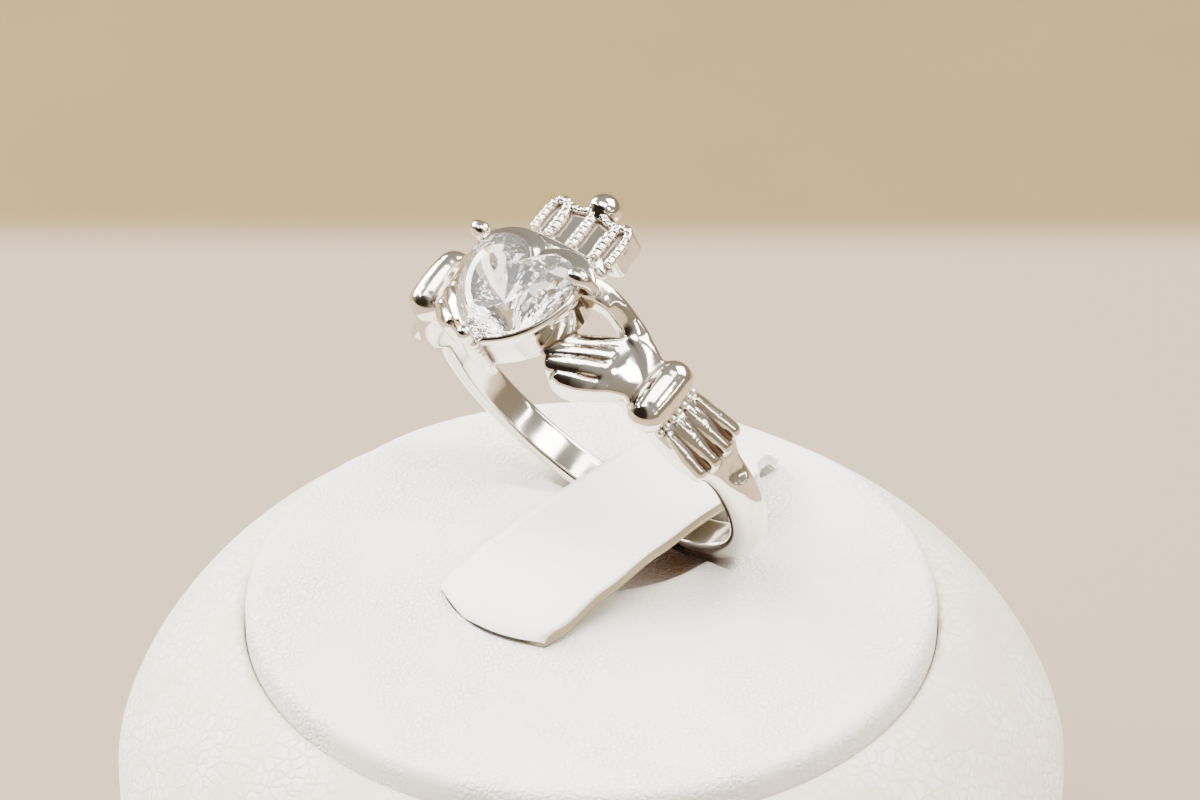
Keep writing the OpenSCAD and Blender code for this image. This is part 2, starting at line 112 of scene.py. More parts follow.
class Casting:
    """Distance to a solid at each point of a grid, in millimetres, negative inside it."""

    def __init__(self, low, high, step):
        self.low = np.array(low, float)
        self.step = step
        self.shape = tuple(int(round(n)) + 1 for n in (np.array(high) - self.low) / step)
        self.field = np.full(self.shape, 5.0, np.float32)

    def ends(self):
        """Lowest and highest corner of the grid."""
        return self.low, self.low + self.step * np.array(self.shape)

    def window(self, low, high):
        """Slices of the grid inside a box, and the coordinates there."""
        first = np.clip(np.floor((np.array(low) - self.low) / self.step).astype(int), 0, self.shape)
        last = np.clip(np.ceil((np.array(high) - self.low) / self.step).astype(int) + 1, 0, self.shape)
        where = tuple(slice(a, b) for a, b in zip(first, last))
        xyz = [self.low[k] + self.step * np.arange(first[k], last[k], dtype=np.float32) for k in range(3)]
        return where, (xyz[0][:, None, None], xyz[1][None, :, None], xyz[2][None, None, :])

    def add(self, distance, low, high, blend=0.05, carve=False):
        """Joins on a solid that lies inside a box, or carves it out."""
        where, xyz = self.window(low, high)
        sign = -1 if carve else 1
        self.field[where] = sign * near_min(sign * self.field[where], distance(*xyz), blend)

    def add_strand(self, points, radii, blend=0.05, carve=False):
        """Rounded bar along points, with a radius at each."""
        points = np.array(points, float)
        radii = np.broadcast_to(np.array(radii, float), len(points))
        reach = radii.max() + blend + 2 * self.step
        ends = list(zip(points[:-1], points[1:], radii[:-1], radii[1:]))

        def bar(x, y, z, a, b, ra, rb):
            d = b - a
            t = np.clip(((x - a[0]) * d[0] + (y - a[1]) * d[1] + (z - a[2]) * d[2]) / (d @ d), 0, 1)
            return np.sqrt(sum((v - v0 - t * dv) ** 2 for v, v0, dv in zip((x, y, z), a, d))) - ra - (rb - ra) * t

        self.add(lambda *xyz: least(bar(*xyz, *end) for end in ends),
                 points.min(0) - reach, points.max(0) + reach, blend, carve)

    def mirrored(self):
        """The whole solid from its half at X above 0."""
        whole = Casting((-self.low[0] - self.step * (self.shape[0] - 1), *self.low[1:]), self.low, self.step)
        whole.field = np.concatenate([self.field[:0:-1], self.field], 0)
        whole.shape = whole.field.shape
        return whole

    def sample(self, p):
        """Distance at any points, from the eight grid points round each."""
        q = np.clip((p - self.low) / self.step, 0, np.array(self.shape) - 1.001)
        i = q.astype(int)
        f = q - i
        total = np.zeros(len(p))
        for c in product((0, 1), repeat=3):
            weight = np.prod([f[:, k] if c[k] else 1 - f[:, k] for k in range(3)], 0)
            total += weight * self.field[i[:, 0] + c[0], i[:, 1] + c[1], i[:, 2] + c[2]]
        return total

    def skin(self, polish=3):
        """Points and quads of the surface, facing outwards, and how hollow it is at each point."""
        inside = self.field < 0
        cells = tuple(n - 1 for n in self.shape)
        part = lambda c: tuple(slice(o, o + n) for o, n in zip(c, cells))
        count = sum(inside[part(c)].astype(np.uint8) for c in product((0, 1), repeat=3))
        mixed = np.argwhere((count > 0) & (count < 8))
        number = np.full(cells, -1, np.int64)
        number[tuple(mixed.T)] = np.arange(len(mixed))
        corner = {c: self.field[tuple((mixed + c).T)] for c in product((0, 1), repeat=3)}
        place = np.zeros((len(mixed), 3))
        hits = np.zeros(len(mixed))
        for c, k in product(corner, range(3)):
            if not c[k]:
                a, b = corner[c], corner[tuple(c + AXES[k])]
                crossed = (a < 0) != (b < 0)
                t = np.where(crossed, a / np.where(crossed, a - b, 1), 0)
                place += np.array(c, float) * crossed[:, None] + t[:, None] * AXES[k]
                hits += crossed
        points = self.low + self.step * (mixed + place / hits[:, None])
        quads = []
        for k in range(3):
            u, v = AXES[(k + 1) % 3], AXES[(k + 2) % 3]
            lower = [slice(1, n - 1) for n in self.shape]
            lower[k] = slice(0, self.shape[k] - 1)
            upper = list(lower)
            upper[k] = slice(1, self.shape[k])
            a, b = inside[tuple(lower)], inside[tuple(upper)]
            for flip in (False, True):
                edge = np.argwhere((b & ~a) if flip else (a & ~b))
                ring = [number[tuple((edge + corner).T)] for corner in (0 * u, u, u + v, v)]
                quads.append(np.stack(ring[::-1] if flip else ring, 1))
        quads = np.concatenate(quads)
        points = relax(points, quads, polish)
        points = self.settle(points)
        step = 2.2 * self.step
        hollow = 6 * self.sample(points)
        for k, sign in product(range(3), (-1, 1)):
            hollow -= self.sample(points + AXES[k] * sign * step)
        return points, quads, hollow / step ** 2

    def settle(self, points):
        """Points drawn back to the surface along the slope of the distances."""
        for _ in range(2):
            slope = np.stack([self.sample(points + a * self.step) - self.sample(points - a * self.step) for a in AXES],
                             1) / (2 * self.step)
            size = np.maximum((slope ** 2).sum(1), 0.05)
            shift = np.clip(self.sample(points) / size, -self.step, self.step)
            points = points - 0.9 * shift[:, None] * slope
        return points


def relax(points, quads, rounds):
    """Evens out steps in a skin without shrinking it."""
    pairs = np.concatenate([quads[:, [0, 1]], quads[:, [1, 2]], quads[:, [2, 3]], quads[:, [3, 0]]])
    pairs = np.concatenate([pairs, pairs[:, ::-1]])
    number = np.bincount(pairs[:, 0], minlength=len(points))[:, None]
    for _ in range(rounds):
        for pull in (0.5, -0.52):
            mean = np.stack([
                np.bincount(pairs[:, 0], points[pairs[:, 1], k], len(points)) for k in range(3)
            ], 1) / number
            points = points + pull * (mean - points)
    return points


def polar(angle, radius, y):
    """Point of the ring's frame at an angle from the heart."""
    a = math.radians(angle)
    return np.array([radius * math.sin(a), y, radius * math.cos(a)])


def curve(points, count):
    """Points along a smooth curve through given ones, whatever they hold."""
    p = np.array(points, float)
    p = np.concatenate([2 * p[:1] - p[1:2], p, 2 * p[-1:] - p[-2:-1]])
    t = np.linspace(0, len(points) - 1.000001, count)
    i = t.astype(int)
    f = (t - i)[:, None]
    a, b, c, d = (p[i + k] for k in range(4))
    return 0.5 * (2 * b + (c - a) * f + (2 * a - 5 * b + 4 * c - d) * f ** 2 + (3 * b - a - 3 * c + d) * f ** 3)


def near_line(a, b, x, y):
    """Distance to a line between two points, and the share of the way along it."""
    dx, dy = b[0] - a[0], b[1] - a[1]
    t = np.clip(((x - a[0]) * dx + (y - a[1]) * dy) / (dx * dx + dy * dy), 0, 1)
    return np.hypot(x - a[0] - t * dx, y - a[1] - t * dy), t


def outline_distance(outline, x, y):
    """Distance to a closed outline, negative inside it."""
    p = np.array(outline, float)
    sides = list(zip(p, np.roll(p, -1, 0)))
    crossed = (((a[1] > y) != (b[1] > y)) & (x < (b[0] - a[0]) * (y - a[1]) / (b[1] - a[1]) + a[0])
               for a, b in sides if a[1] != b[1])
    return np.where(reduce(np.logical_xor, crossed), -1, 1) * least(near_line(a, b, x, y)[0] for a, b in sides)


def slab(flat, z, low, high, edge):
    """Distance to an outline's prism with rounded edges, from the outline's own distance."""
    return round_corner(flat + edge, abs(z - (low + high) / 2) - (high - low) / 2 + edge, edge)


# ---- Sizes that a user would change ----

def length(name, description, default):
    """A size in metres, given in millimetres."""
    return bpy.props.FloatProperty(
        name=name, description=description, default=default * MM, unit="LENGTH", precision=5, min=0)


def hex_colour(name, description, default):
    """An sRGB colour as a hex value."""
    return bpy.props.StringProperty(name=name, description=description, default=default)


class RingSizes(bpy.types.PropertyGroup):
    finger_d: length("Finger hollow", "Diameter of the hollow for the finger", 17.3)
    band_w: length("Band width", "Width of the shank at the bottom", 1.9)
    band_t: length("Band thickness", "Thickness of the shank at the bottom", 1.35)
    cuff_t: length("Cuff thickness", "Thickness of a fluted cuff", 1.95)
    roll_r: length("Roll radius", "Radius of a rolled cuff edge", 0.98)
    roll_l: length("Roll length", "Length of a rolled cuff edge", 4.0)
    hand_h: length("Hand height", "Height of the backs of the hands over the hollow", 2.2)
    stone_w: length("Stone width", "Width of the heart stone", 6.3)
    stone_l: length("Stone length", "Length of the heart stone", 5.7)
    girdle_h: length("Girdle height", "Height of the stone's girdle over the hollow", 3.65)
    prong_r: length("Prong radius", "Radius of a prong's ball", 0.42)
    crown_w: length("Crown width", "Width of the crown", 5.4)
    crown_l: length("Crown length", "Length of the crown", 2.7)
    crown_h: length("Crown height", "Height of the crown's face over the hollow", 1.85)
    bead_r: length("Bead radius", "Radius of a bead on the crown", 0.24)
    bead_gap: length("Bead spacing", "Distance between beads on the crown", 0.37)
    grain: length("Detail", "Spacing of the grid that the casting is drawn on", 0.094)


class StandSizes(bpy.types.PropertyGroup):
    disc_d: length("Disc diameter", "Diameter of the padded disc", 34.2)
    base_d: length("Base diameter", "Diameter of the base", 47.4)
    shoulder_h: length("Shoulder height", "Height of the base's domed shoulder", 8)
    clip_w: length("Clip width", "Width of the leatherette clip", 7.25)
    clip_l: length("Clip length", "Length of the leatherette clip", 20)
    clip_t: length("Clip thickness", "Thickness of the leatherette clip", 1.0)
    clip_front: length("Clip reach", "Distance of the clip's free end in front of the middle", 5.35)
    ring_lean: bpy.props.FloatProperty(
        name="Ring lean", description="Lean of the ring toward the clip's free end",
        default=math.radians(28.5), subtype="ANGLE")
    ring_sink: length("Ring sink", "Depth of the ring's lowest point under the disc's face", 2.1)


class Colours(bpy.types.PropertyGroup):
    silver: hex_colour("Silver", "Polished silver", "#E9E3D8")
    tarnish: hex_colour("Tarnish", "Silver down in the cast grooves", "#6A5646")
    leather: hex_colour("Leatherette", "White leatherette of base and disc", "#F3F1EE")
    clip: hex_colour("Clip", "White leatherette of the clip", "#F5F3EF")
    # The cut edge's colour also paints the shade on the base's lip against the disc
    edge: hex_colour("Cut edge", "Cut edge and bare back of the leatherette", "#A5936F")
    # The slot's brown is painted shade on the disc: in the slot, in the creases and on the rim
    slot: hex_colour("Slot", "Inside of the disc's slot", "#5C3A12")
    floor: hex_colour("Floor", "Pale floor", "#92826F")
    wall: hex_colour("Backdrop", "Backdrop behind the floor", "#6E5C3A")


def sizes(group="ring_sizes"):
    """Sizes of a property group, its lengths in millimetres."""
    data = getattr(bpy.context.scene, group)
    return SimpleNamespace(**{
        key: getattr(data, key) / (1 if key == "ring_lean" else MM) for key in type(data).__annotations__})


# The ring's place on the stand, as in the part's source, in millimetres
RING_X, RING_Y = -2.65, 3.3
CLIP_X = -1.68


def ring_rise():
    """Height of the hollow's middle over the disc's face."""
    ring, stand = sizes(), sizes("stand_sizes")
    outer = ring.finger_d / 2 + ring.band_t
    return outer * math.cos(stand.ring_lean) + ring.band_w / 2 * math.sin(stand.ring_lean) - stand.ring_sink


def from_ring(points):
    """Points of the ring's frame, in millimetres, as points of the part, in metres."""
    lean = bpy.context.scene.stand_sizes.ring_lean
    c, s = math.cos(lean), math.sin(lean)
    turn = np.array([[1, 0, 0], [0, c, -s], [0, s, c]])
    return (np.asarray(points) @ turn.T + [RING_X, RING_Y, STAND_H + ring_rise()]) * MM


# ---- Objects and materials ----

def new_object(name, points, faces, material, smooth=True, domain="POINT", **values):
    """Mesh object at the origin, with named values at its points or faces."""
    mesh = bpy.data.meshes.new(name)
    mesh.from_pydata(np.asarray(points).tolist(), [], faces)
    mesh.update()
    mesh.validate()
    mesh.shade_smooth() if smooth else mesh.shade_flat()
    for key, value in values.items():
        mesh.attributes.new(key, "FLOAT", domain).data.foreach_set("value", np.asarray(value, np.float32))
    mesh.materials.append(material)
    return link(name, mesh)


def link(name, data):
    """Object of some data, in the scene."""
    obj = bpy.data.objects.new(name, data)
    bpy.context.scene.collection.objects.link(obj)
    return obj


def keep(obj, slot, *nodes):
    """Ties a finished piece to the part's root body and hides the nodes that it stands for. The slot is not used."""
    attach(obj, "root")
    if nodes:
        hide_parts(*nodes)


def linear(hex_value):
    """sRGB hex colour as linear RGBA."""
    v = [int(hex_value[i:i + 2], 16) / 255 for i in (1, 3, 5)]
    return (*[c / 12.92 if c <= 0.04045 else ((c + 0.055) / 1.055) ** 2.4 for c in v], 1)


def set_inputs(node, inputs):
    """Sets a node's inputs, each to a value, an output, or another node's first output in use."""
    for key, value in inputs.items():
        if isinstance(value, bpy.types.Node):
            value = next(s for s in value.outputs if s.enabled)
        if isinstance(value, bpy.types.NodeSocket):
            node.id_data.links.new(value, node.inputs[key])
        else:
            node.inputs[key].default_value = value
    return node


def add_node(tree, kind, inputs=None, **settings):
    """New node with its settings and its inputs."""
    node = tree.nodes.new(kind)
    for key, value in settings.items():
        setattr(node, key, value)
    return set_inputs(node, inputs or {})


def new_material(name, **inputs):
    """Material with one Principled shader, its sockets set."""
    m = bpy.data.materials.new(name)
    m.use_nodes = True
    shader = m.node_tree.nodes["Principled BSDF"]
    set_inputs(shader, {key.replace("_", " "): value for key, value in inputs.items()})
    return m, m.node_tree, shader


def once(name, make, *values):
    """A material that is made on first use."""
    return bpy.data.materials.get(name) or make(name, *values)


def colour(name):
    """A colour of the property group as linear RGBA."""
    return linear(getattr(bpy.context.scene.ring_colours, name))


def spaced(distance):
    """Scale of a pattern whose marks lie a distance in millimetres apart."""
    return 1 / (distance * MM)


def patches(tree, where, low=0.0, high=1.0):
    """Soft patches of handling and wear, about 4 mm apart, from a low value to a high one."""
    noise = add_node(tree, "ShaderNodeTexNoise", {"Vector": where, "Scale": spaced(3.84615), "Detail": 3.0})
    return add_node(tree, "ShaderNodeMapRange", {
        "Value": noise, "From Min": 0.35, "From Max": 0.65, "To Min": low, "To Max": high})


def cast_silver(name, satin_low, satin_high):
    """Sterling silver, lost-wax cast and polished: mirror bright, brown in the grooves the wheel can't reach."""
    m, tree, shader = new_material(name, Metallic=1.0, Roughness=0.1)
    where = add_node(tree, "ShaderNodeTexCoord").outputs["Object"]
    hollow = add_node(tree, "ShaderNodeAttribute", attribute_name="hollow").outputs["Fac"]
    dirt = add_node(tree, "ShaderNodeMapRange", {"Value": hollow, "From Min": 0.9, "From Max": 4.0})
    tint = add_node(tree, "ShaderNodeMix", {
        "Factor": dirt, "A": colour("silver"), "B": colour("tarnish")}, data_type="RGBA")
    satin = patches(tree, where, satin_low, satin_high)
    rough = add_node(tree, "ShaderNodeMath", {0: dirt, 1: 0.3, 2: satin}, operation="MULTIPLY_ADD")
    # Waves left by the polishing wheel, about 0.6 mm apart
    waves = add_node(tree, "ShaderNodeTexNoise", {"Vector": where, "Scale": spaced(0.625), "Detail": 2.0})
    bump = add_node(tree, "ShaderNodeBump", {"Height": waves, "Strength": 0.07, "Distance": 0.04 * MM})
    # Marks of the last brushing, across the finger: 11 to a millimetre, coarser than real ones so that they show
    marks = add_node(tree, "ShaderNodeVectorMath", {
        0: where, 1: (spaced(0.4), spaced(1 / 11), spaced(0.4))}, operation="MULTIPLY")
    brushed = add_node(tree, "ShaderNodeTexNoise", {"Vector": marks, "Scale": 1.0, "Detail": 1.0})
    bump = add_node(tree, "ShaderNodeBump", {
        "Height": brushed, "Strength": 0.05, "Distance": 0.01 * MM, "Normal": bump})
    set_inputs(shader, {"Base Color": tint, "Roughness": rough, "Normal": bump})
    return m


def silver():
    """Silver that the wheel has polished."""
    return once("cast_sterling_silver_polished", cast_silver, 0.07, 0.15)


def beaded_silver():
    """Silver as cast on the beads, where the wheel only brushes the tops."""
    return once("cast_sterling_silver_satin", cast_silver, 0.24, 0.36)


def cut_zirconia(name):
    """Cubic zirconia, cut and polished: clear, strongly refracting, with sharp facets."""
    m, tree, shader = new_material(name, Roughness=0.0, IOR=2.0, Transmission_Weight=0.94, Specular_IOR_Level=0.6)
    # Painted fire: some facets are tinted, standing in for the colours that the stone splits out of the light
    fire = add_node(tree, "ShaderNodeAttribute", attribute_name="fire").outputs["Fac"]
    fire_tint = add_node(tree, "ShaderNodeValToRGB", {"Fac": fire})
    stops = fire_tint.color_ramp.elements
    stops[0].color, stops[1].color = linear("#FFFFFF"), linear("#FFD59A")
    for place, tint in ((0.45, "#FFFBF8"), (0.70, "#FFFFFF"), (0.85, "#F0F4FF"), (0.93, "#FFEFD9")):
        stops.new(place).color = linear(tint)
    set_inputs(shader, {"Base Color": fire_tint})
    return m


def leatherette(name, tint, grain, height, shade=0.06, line=0.22, cut="edge"):
    """PVC leatherette, calendered with a grain: soft sheen, cells between fine creases, bare where it is cut, and
    painted shade where a piece puts it in the same mask.

    The cells' size and the creases' depth are in millimetres.
    """
    m, tree, shader = new_material(name, Roughness=0.5, Specular_IOR_Level=0.4, Sheen_Weight=0.15)
    where = add_node(tree, "ShaderNodeTexCoord").outputs["Object"]
    bent = add_node(tree, "ShaderNodeTexNoise", {"Vector": where, "Scale": spaced(grain / 0.6), "Detail": 2.0})
    offset = add_node(tree, "ShaderNodeVectorMath", {
        0: bent.outputs["Color"], "Scale": grain * MM * 0.8}, operation="SCALE")
    moved = add_node(tree, "ShaderNodeVectorMath", {0: where, 1: offset}, operation="ADD")
    cells = add_node(tree, "ShaderNodeTexVoronoi", {
        "Vector": moved, "Scale": spaced(grain)}, feature="DISTANCE_TO_EDGE")
    crease = add_node(tree, "ShaderNodeMapRange", {
        "Value": cells, "From Max": line, "To Min": 0.0, "To Max": 1.0})
    depth = add_node(tree, "ShaderNodeMath", {0: crease, 1: patches(tree, where)}, operation="MULTIPLY")
    base = colour(tint)
    deep = tuple(c * (1 - shade * k) for c, k in zip(base, (0.7, 1.0, 1.6))) + (1,)
    mix = add_node(tree, "ShaderNodeMix", {"Factor": depth, "A": deep, "B": base}, data_type="RGBA")
    # Mask of bare cut leather, which the disc and the base also use for painted shade
    bare = add_node(tree, "ShaderNodeAttribute", attribute_name="cut").outputs["Fac"]
    skin = add_node(tree, "ShaderNodeMix", {"Factor": bare, "A": mix, "B": colour(cut)}, data_type="RGBA")
    bump = add_node(tree, "ShaderNodeBump", {"Height": depth, "Strength": 0.6, "Distance": height * MM})
    set_inputs(shader, {"Base Color": skin, "Normal": bump})
    return m


# ---- The ring ----

# Share of the shank's thickness at which it is widest
WIDEST = 0.38
# Angles from the heart of a cuff's rolled edge and of the milled line beside it, and the line's beads: spacing, radius
ROLL_AT, MILLED_AT = 45.5, 51.9
MILLED_GAP, MILLED_R = 0.43, 0.21
# Angle from the heart at which the shank's wrist ends, and height over the hollow at which a hand is laid out
WRIST = 34
HAND_ARC = 1.95
# Heart, as shares of its size: radius of a lobe, place of the tip, swell of a side
LOBE, TIP, SWELL = 0.27, 0.61, 0.13
# Shank, cuff and wrist: angle, half width, thickness, squareness, in millimetres
BAND = np.array([
    [30, 1.30, 1.40, 2.6],
    [40, 1.28, 1.35, 2.6],
    [47, 1.30, 1.40, 2.6],
    [52, 1.56, 1.54, 3.0],
    [56, 1.68, 1.62, 3.2],
    [62, 1.74, 1.66, 3.4],
    [67, 1.74, 1.62, 3.2],
    [71, 1.64, 1.56, 3.0],
    [74.5, 1.10, 1.50, 2.4],
    [82, 0.97, 1.78, 2.2],
    [92, 0.95, 1.72, 2.2],
    [105, 0.95, 1.50, 2.2],
    [125, 0.95, 1.38, 2.2],
    [180, 0.95, 1.35, 2.2],
])
# Outline of the hand, wrist to fingertips and back: angle, place along the finger
HAND = [
    [45, -1.20], [40.7, -1.26], [37.9, -1.20], [34.4, -1.51], [30.6, -2.01], [26.4, -2.53], [22.1, -2.70],
    [18.3, -2.58], [15.6, -2.33], [13.3, -1.86], [11.4, -1.32], [11.0, -0.80], [12.2, -0.58], [14.9, -0.23],
    [17.9, 0.06], [22.0, 0.51], [25.9, 0.93], [30.2, 1.34], [33.0, 1.72], [36.3, 1.67], [39.7, 1.42], [45, 1.36],
]
# Fingers: first and last angle and place along the finger, half width
FINGERS = [
    [[27.5, 0.72], [11.6, -1.02], 0.36],
    [[28.2, 0.02], [12.8, -1.60], 0.36],
    [[30.0, -0.76], [16.2, -2.02], 0.46],
    [[32.0, -1.66], [21.0, -2.42], 0.42],
]
# Thumb up to the heart: angle, lower and upper place along the finger, height of its top, thickness
THUMB = np.array([
    [12.5, 0.95, 2.25, 3.52, 1.2], [16, 1.15, 2.42, 3.52, 1.3], [20, 1.34, 2.46, 3.28, 1.3],
    [24, 1.34, 2.42, 2.80, 1.5], [28, 1.20, 2.30, 2.26, 2.0], [32, 0.98, 2.12, 1.98, 2.4],
    [36, 0.60, 1.76, 1.84, 2.2], [40, -0.10, 1.45, 1.72, 2.0], [46, -0.60, 1.30, 1.50, 1.9],
])
# Flutes of a cuff: place along the finger, first angle, last angle, radius
FLUTES = [[-1.34, 54.2, 67.9, 0.46], [-0.46, 53.4, 68.7, 0.50], [0.46, 53.4, 68.7, 0.50], [1.34, 54.2, 67.9, 0.46]]
# Claw at the heart's tip: depth under the girdle, place past the tip, half width, half depth
CLAW = [[0.25, -0.12, 0.50, 0.36], [1.2, -0.16, 0.62, 0.36], [2.1, -0.12, 0.56, 0.36], [2.75, 0.02, 0.34, 0.30],
        [3.1, 0.12, 0.16, 0.24]]


def smooth_table(table, angles):
    """Columns of a table at angles, with its corners rounded over a few degrees."""
    fine = np.arange(table[0, 0] - 20, table[-1, 0] + 20, 0.25)
    back = np.where(fine > 180, 360 - fine, fine)
    kernel = np.exp(-0.5 * (np.arange(-32, 33) / 9.0) ** 2)
    kernel /= kernel.sum()
    out = []
    for column in range(1, table.shape[1]):
        values = np.convolve(np.interp(back, table[:, 0], table[:, column]), kernel, "same")
        out.append(np.interp(angles, fine[40:-40], values[40:-40]))
    return out


def heart_places():
    """Heights and places that the stone and its setting share, in millimetres of the ring's frame."""
    ring = sizes()
    r, tip = ring.stone_w * LOBE, -TIP * ring.stone_l
    lobe = (ring.stone_w / 2 - r, tip + ring.stone_l - r)
    girdle = ring.finger_d / 2 + ring.girdle_h
    away = math.radians(30)
    return SimpleNamespace(
        r=r, tip=tip, top=tip + ring.stone_l, lobe=lobe, girdle=girdle, ball=girdle + 0.1 + ring.prong_r,
        side=(lobe[0] + (r + 0.2) * math.cos(away), lobe[1] + (r + 0.2) * math.sin(away)))


def heart_outline(n=28):
    """Heart of the stone's size round the ring's Z, from its cleft round by the right lobe."""
    place = heart_places()
    r, (cx, cy) = place.r, place.lobe
    turn = [math.radians(a) for a in np.linspace(math.degrees(math.acos(-cx / r)), -18, n)]
    lobe = [(cx + r * math.cos(q), cy + r * math.sin(q)) for q in turn]
    a, b = np.array(lobe[-1]), np.array((0, place.tip))
    out = np.array((-(b - a)[1], (b - a)[0]))
    side = [tuple(a + (b - a) * t + out * SWELL * 4 * t * (1 - t)) for t in np.linspace(0, 1, n)[1:]]
    half = lobe + side
    return np.array(half + [(-x, y) for x, y in half[-2:0:-1]])


def band_top(angle, y, margin=0.0):
    """Height of the shank's or cuff's outside over the hollow, at an angle and a place along the finger."""
    width, thick, square = (v[0] for v in smooth_table(BAND, np.array([angle])))
    return thick * (WIDEST + (1 - WIDEST) * max(1 - abs(y / (width + margin)) ** square, 0) ** (1 / square))


def cast_band(half):
    """Shank, wrist and the body of the cuff."""
    ring = sizes()
    hollow = ring.finger_d / 2

    def band(x, y, z):
        angle = np.degrees(np.arctan2(x, z))
        width, thick, square = (v.astype(np.float32) for v in smooth_table(BAND, angle))
        up = thick * (1 - WIDEST)
        r = (np.hypot(x, z) - hollow - thick * WIDEST) / up
        s = (np.abs(r) ** square + np.abs(y / width) ** square) ** (1 / square)
        body = (s - 1) * np.minimum(up, width)
        end = math.radians(WRIST)
        return np.maximum(body, z * math.sin(end) - x * math.cos(end))

    edge = hollow + 2.4
    half.add(band, (-1, -2.2, -edge), (edge, 2.2, edge), 0.05)


def cast_cuff(half):
    """Flutes of the cuff and its rolled edge."""
    ring = sizes()
    hollow = ring.finger_d / 2
    for y, first, last, radius in FLUTES:
        # Straight crests, pointed toward the roll, full and round toward the shank
        a, b = (polar(angle, hollow + band_top(angle, y, 0.35) + proud, y * side)
                for angle, proud, side in ((first, 0.13, 0.86), (last, 0.25, 1.0)))
        outward = polar((first + last) / 2 - 5, 1, 0)
        share = np.linspace(0, 1, 13)[:, None]
        full = radius * (0.30 + 0.70 * np.minimum(share / 0.6, 1) ** 0.9)
        half.add_strand(a + (b - a) * share - outward * full, full[:, 0], 0.02)
    # Grooves between the flutes
    angles = np.linspace(55, 69.5, 11)
    for y in (-0.92, 0, 0.92):
        half.add_strand([polar(a, hollow + band_top(a, y) + 0.08, y) for a in angles],
                        0.14 + 0.004 * (angles - 55), 0.02, carve=True)
    # Sunk facet where the shank leaves the cuff
    half.add_strand([polar(76.8, hollow + 2.62, 0.1), polar(77.6, hollow + 2.62, 0.3)], [1.2, 1.2], 0.04, carve=True)
    r, roll = ring.roll_r, ring.roll_l / 2
    middle = hollow + ring.cuff_t * 1.02 - r * 0.48
    path = [polar(ROLL_AT, middle, y) for y in np.linspace(-roll + r, roll - r, 7)]
    half.add_strand(path, [r * s for s in (1.0, 1.04, 1.06, 1.06, 1.06, 1.04, 1.0)], 0.10)


def cast_hand(half):
    """Hand laid flat on the shank, with its four fingers, and the thumb that runs up to a prong."""
    ring = sizes()
    hollow = ring.finger_d / 2
    tall = ring.hand_h - 0.25
    place = heart_places()
    arc = math.radians(hollow + HAND_ARC)
    turned = lambda x, z: np.degrees(np.arctan2(x, z))

    def plate(outline, top, deep, edge):
        """Distance to a plate round the hollow, from its outline and the height of its top."""
        def distance(x, y, z):
            a, r = turned(x, z), np.hypot(x, z) - hollow
            over = top(a, y)
            flat = outline_distance([(u * arc, v) for u, v in outline], a * arc, y).astype(np.float32) + edge
            return round_corner(flat, np.maximum(r - over, over - deep(a, y) - r) + edge, edge)
        return distance

    def knuckles(a, y):
        crest = np.interp(a, (10, 14, 24, 28, 32, 40, 45), (-0.16, -0.02, 0.10, 0.08, 0.02, -0.2, -0.3))
        middle = np.interp(a, (10, 20, 30, 40), (-1.1, -1.1, -0.35, 0.1))
        toward_thumb = np.clip((y - 0.1) / 1.3, 0, 1) ** 1.5 * np.interp(a, (24, 29, 36, 45), (0, 1, 1, 0.2))
        dome = tall + crest - 0.11 * (y - middle) ** 2 + 0.34 * toward_thumb
        across = (near_line((a0 * arc, y0), (a1 * arc, y1), a * arc, y)[0] / w for (a0, y0), (a1, y1), w in FINGERS)
        lowest = least(0.03 * away ** 2 + 0.19 * away ** 8 for away in across)
        fingers = dome - np.minimum(lowest, 0.6)
        back = dome - 0.02 - 0.6 * np.clip((29.5 + 0.9 * (-y - 0.5) - a) / 6, 0, 1) ** 1.3
        return -near_min(-fingers, -back, 0.09)

    half.add(plate(HAND, knuckles, lambda a, y: 3.0 + 0 * a, 0.20), (1.5, -3.1, 6.8), (8.8, 2.1, 11.3), 0.06)
    thumb = lambda a, k: np.interp(a, THUMB[:, 0], THUMB[:, k])
    outline = curve(THUMB[::-1, [0, 1]], 30).tolist() + curve(THUMB[:, [0, 2]], 30).tolist()

    def top(a, y):
        """Slopes down to the hand's back near the wrist, and stands free toward the heart."""
        middle, half_w = (thumb(a, 1) + thumb(a, 2)) / 2, (thumb(a, 2) - thumb(a, 1)) / 2
        free = thumb(a, 3) - 0.12 * ((y - middle + 0.1) / half_w) ** 2
        back = tall - 0.05 + 0.10 * np.clip((y - 0.1) / 1.3, 0, 1)
        share = smoothstep((y - middle + 1.15 * half_w) / (1.9 * half_w))
        joined = np.interp(a, (22, 27), (0, 1))
        return free + (np.minimum(back, free) - free) * (1 - share) * joined

    half.add(plate(outline, top, lambda a, y: thumb(a, 4), 0.16), (1.8, -0.9, 6.8), (8.9, 2.8, 13.1), 0.30)
    x, y, z = (*place.side, place.ball)
    radius = ring.prong_r
    path = curve([(x - 0.05, y - 0.03, z - 0.02, radius), (x + 0.30, y, z - 0.10, radius * 0.96),
                  (x + 0.52, y + 0.05, z - 0.50, radius * 0.74), (x + 0.60, y + 0.12, z - 1.05, radius * 0.72)], 14)
    half.add_strand(path[:, :3], path[:, 3], 0.06)


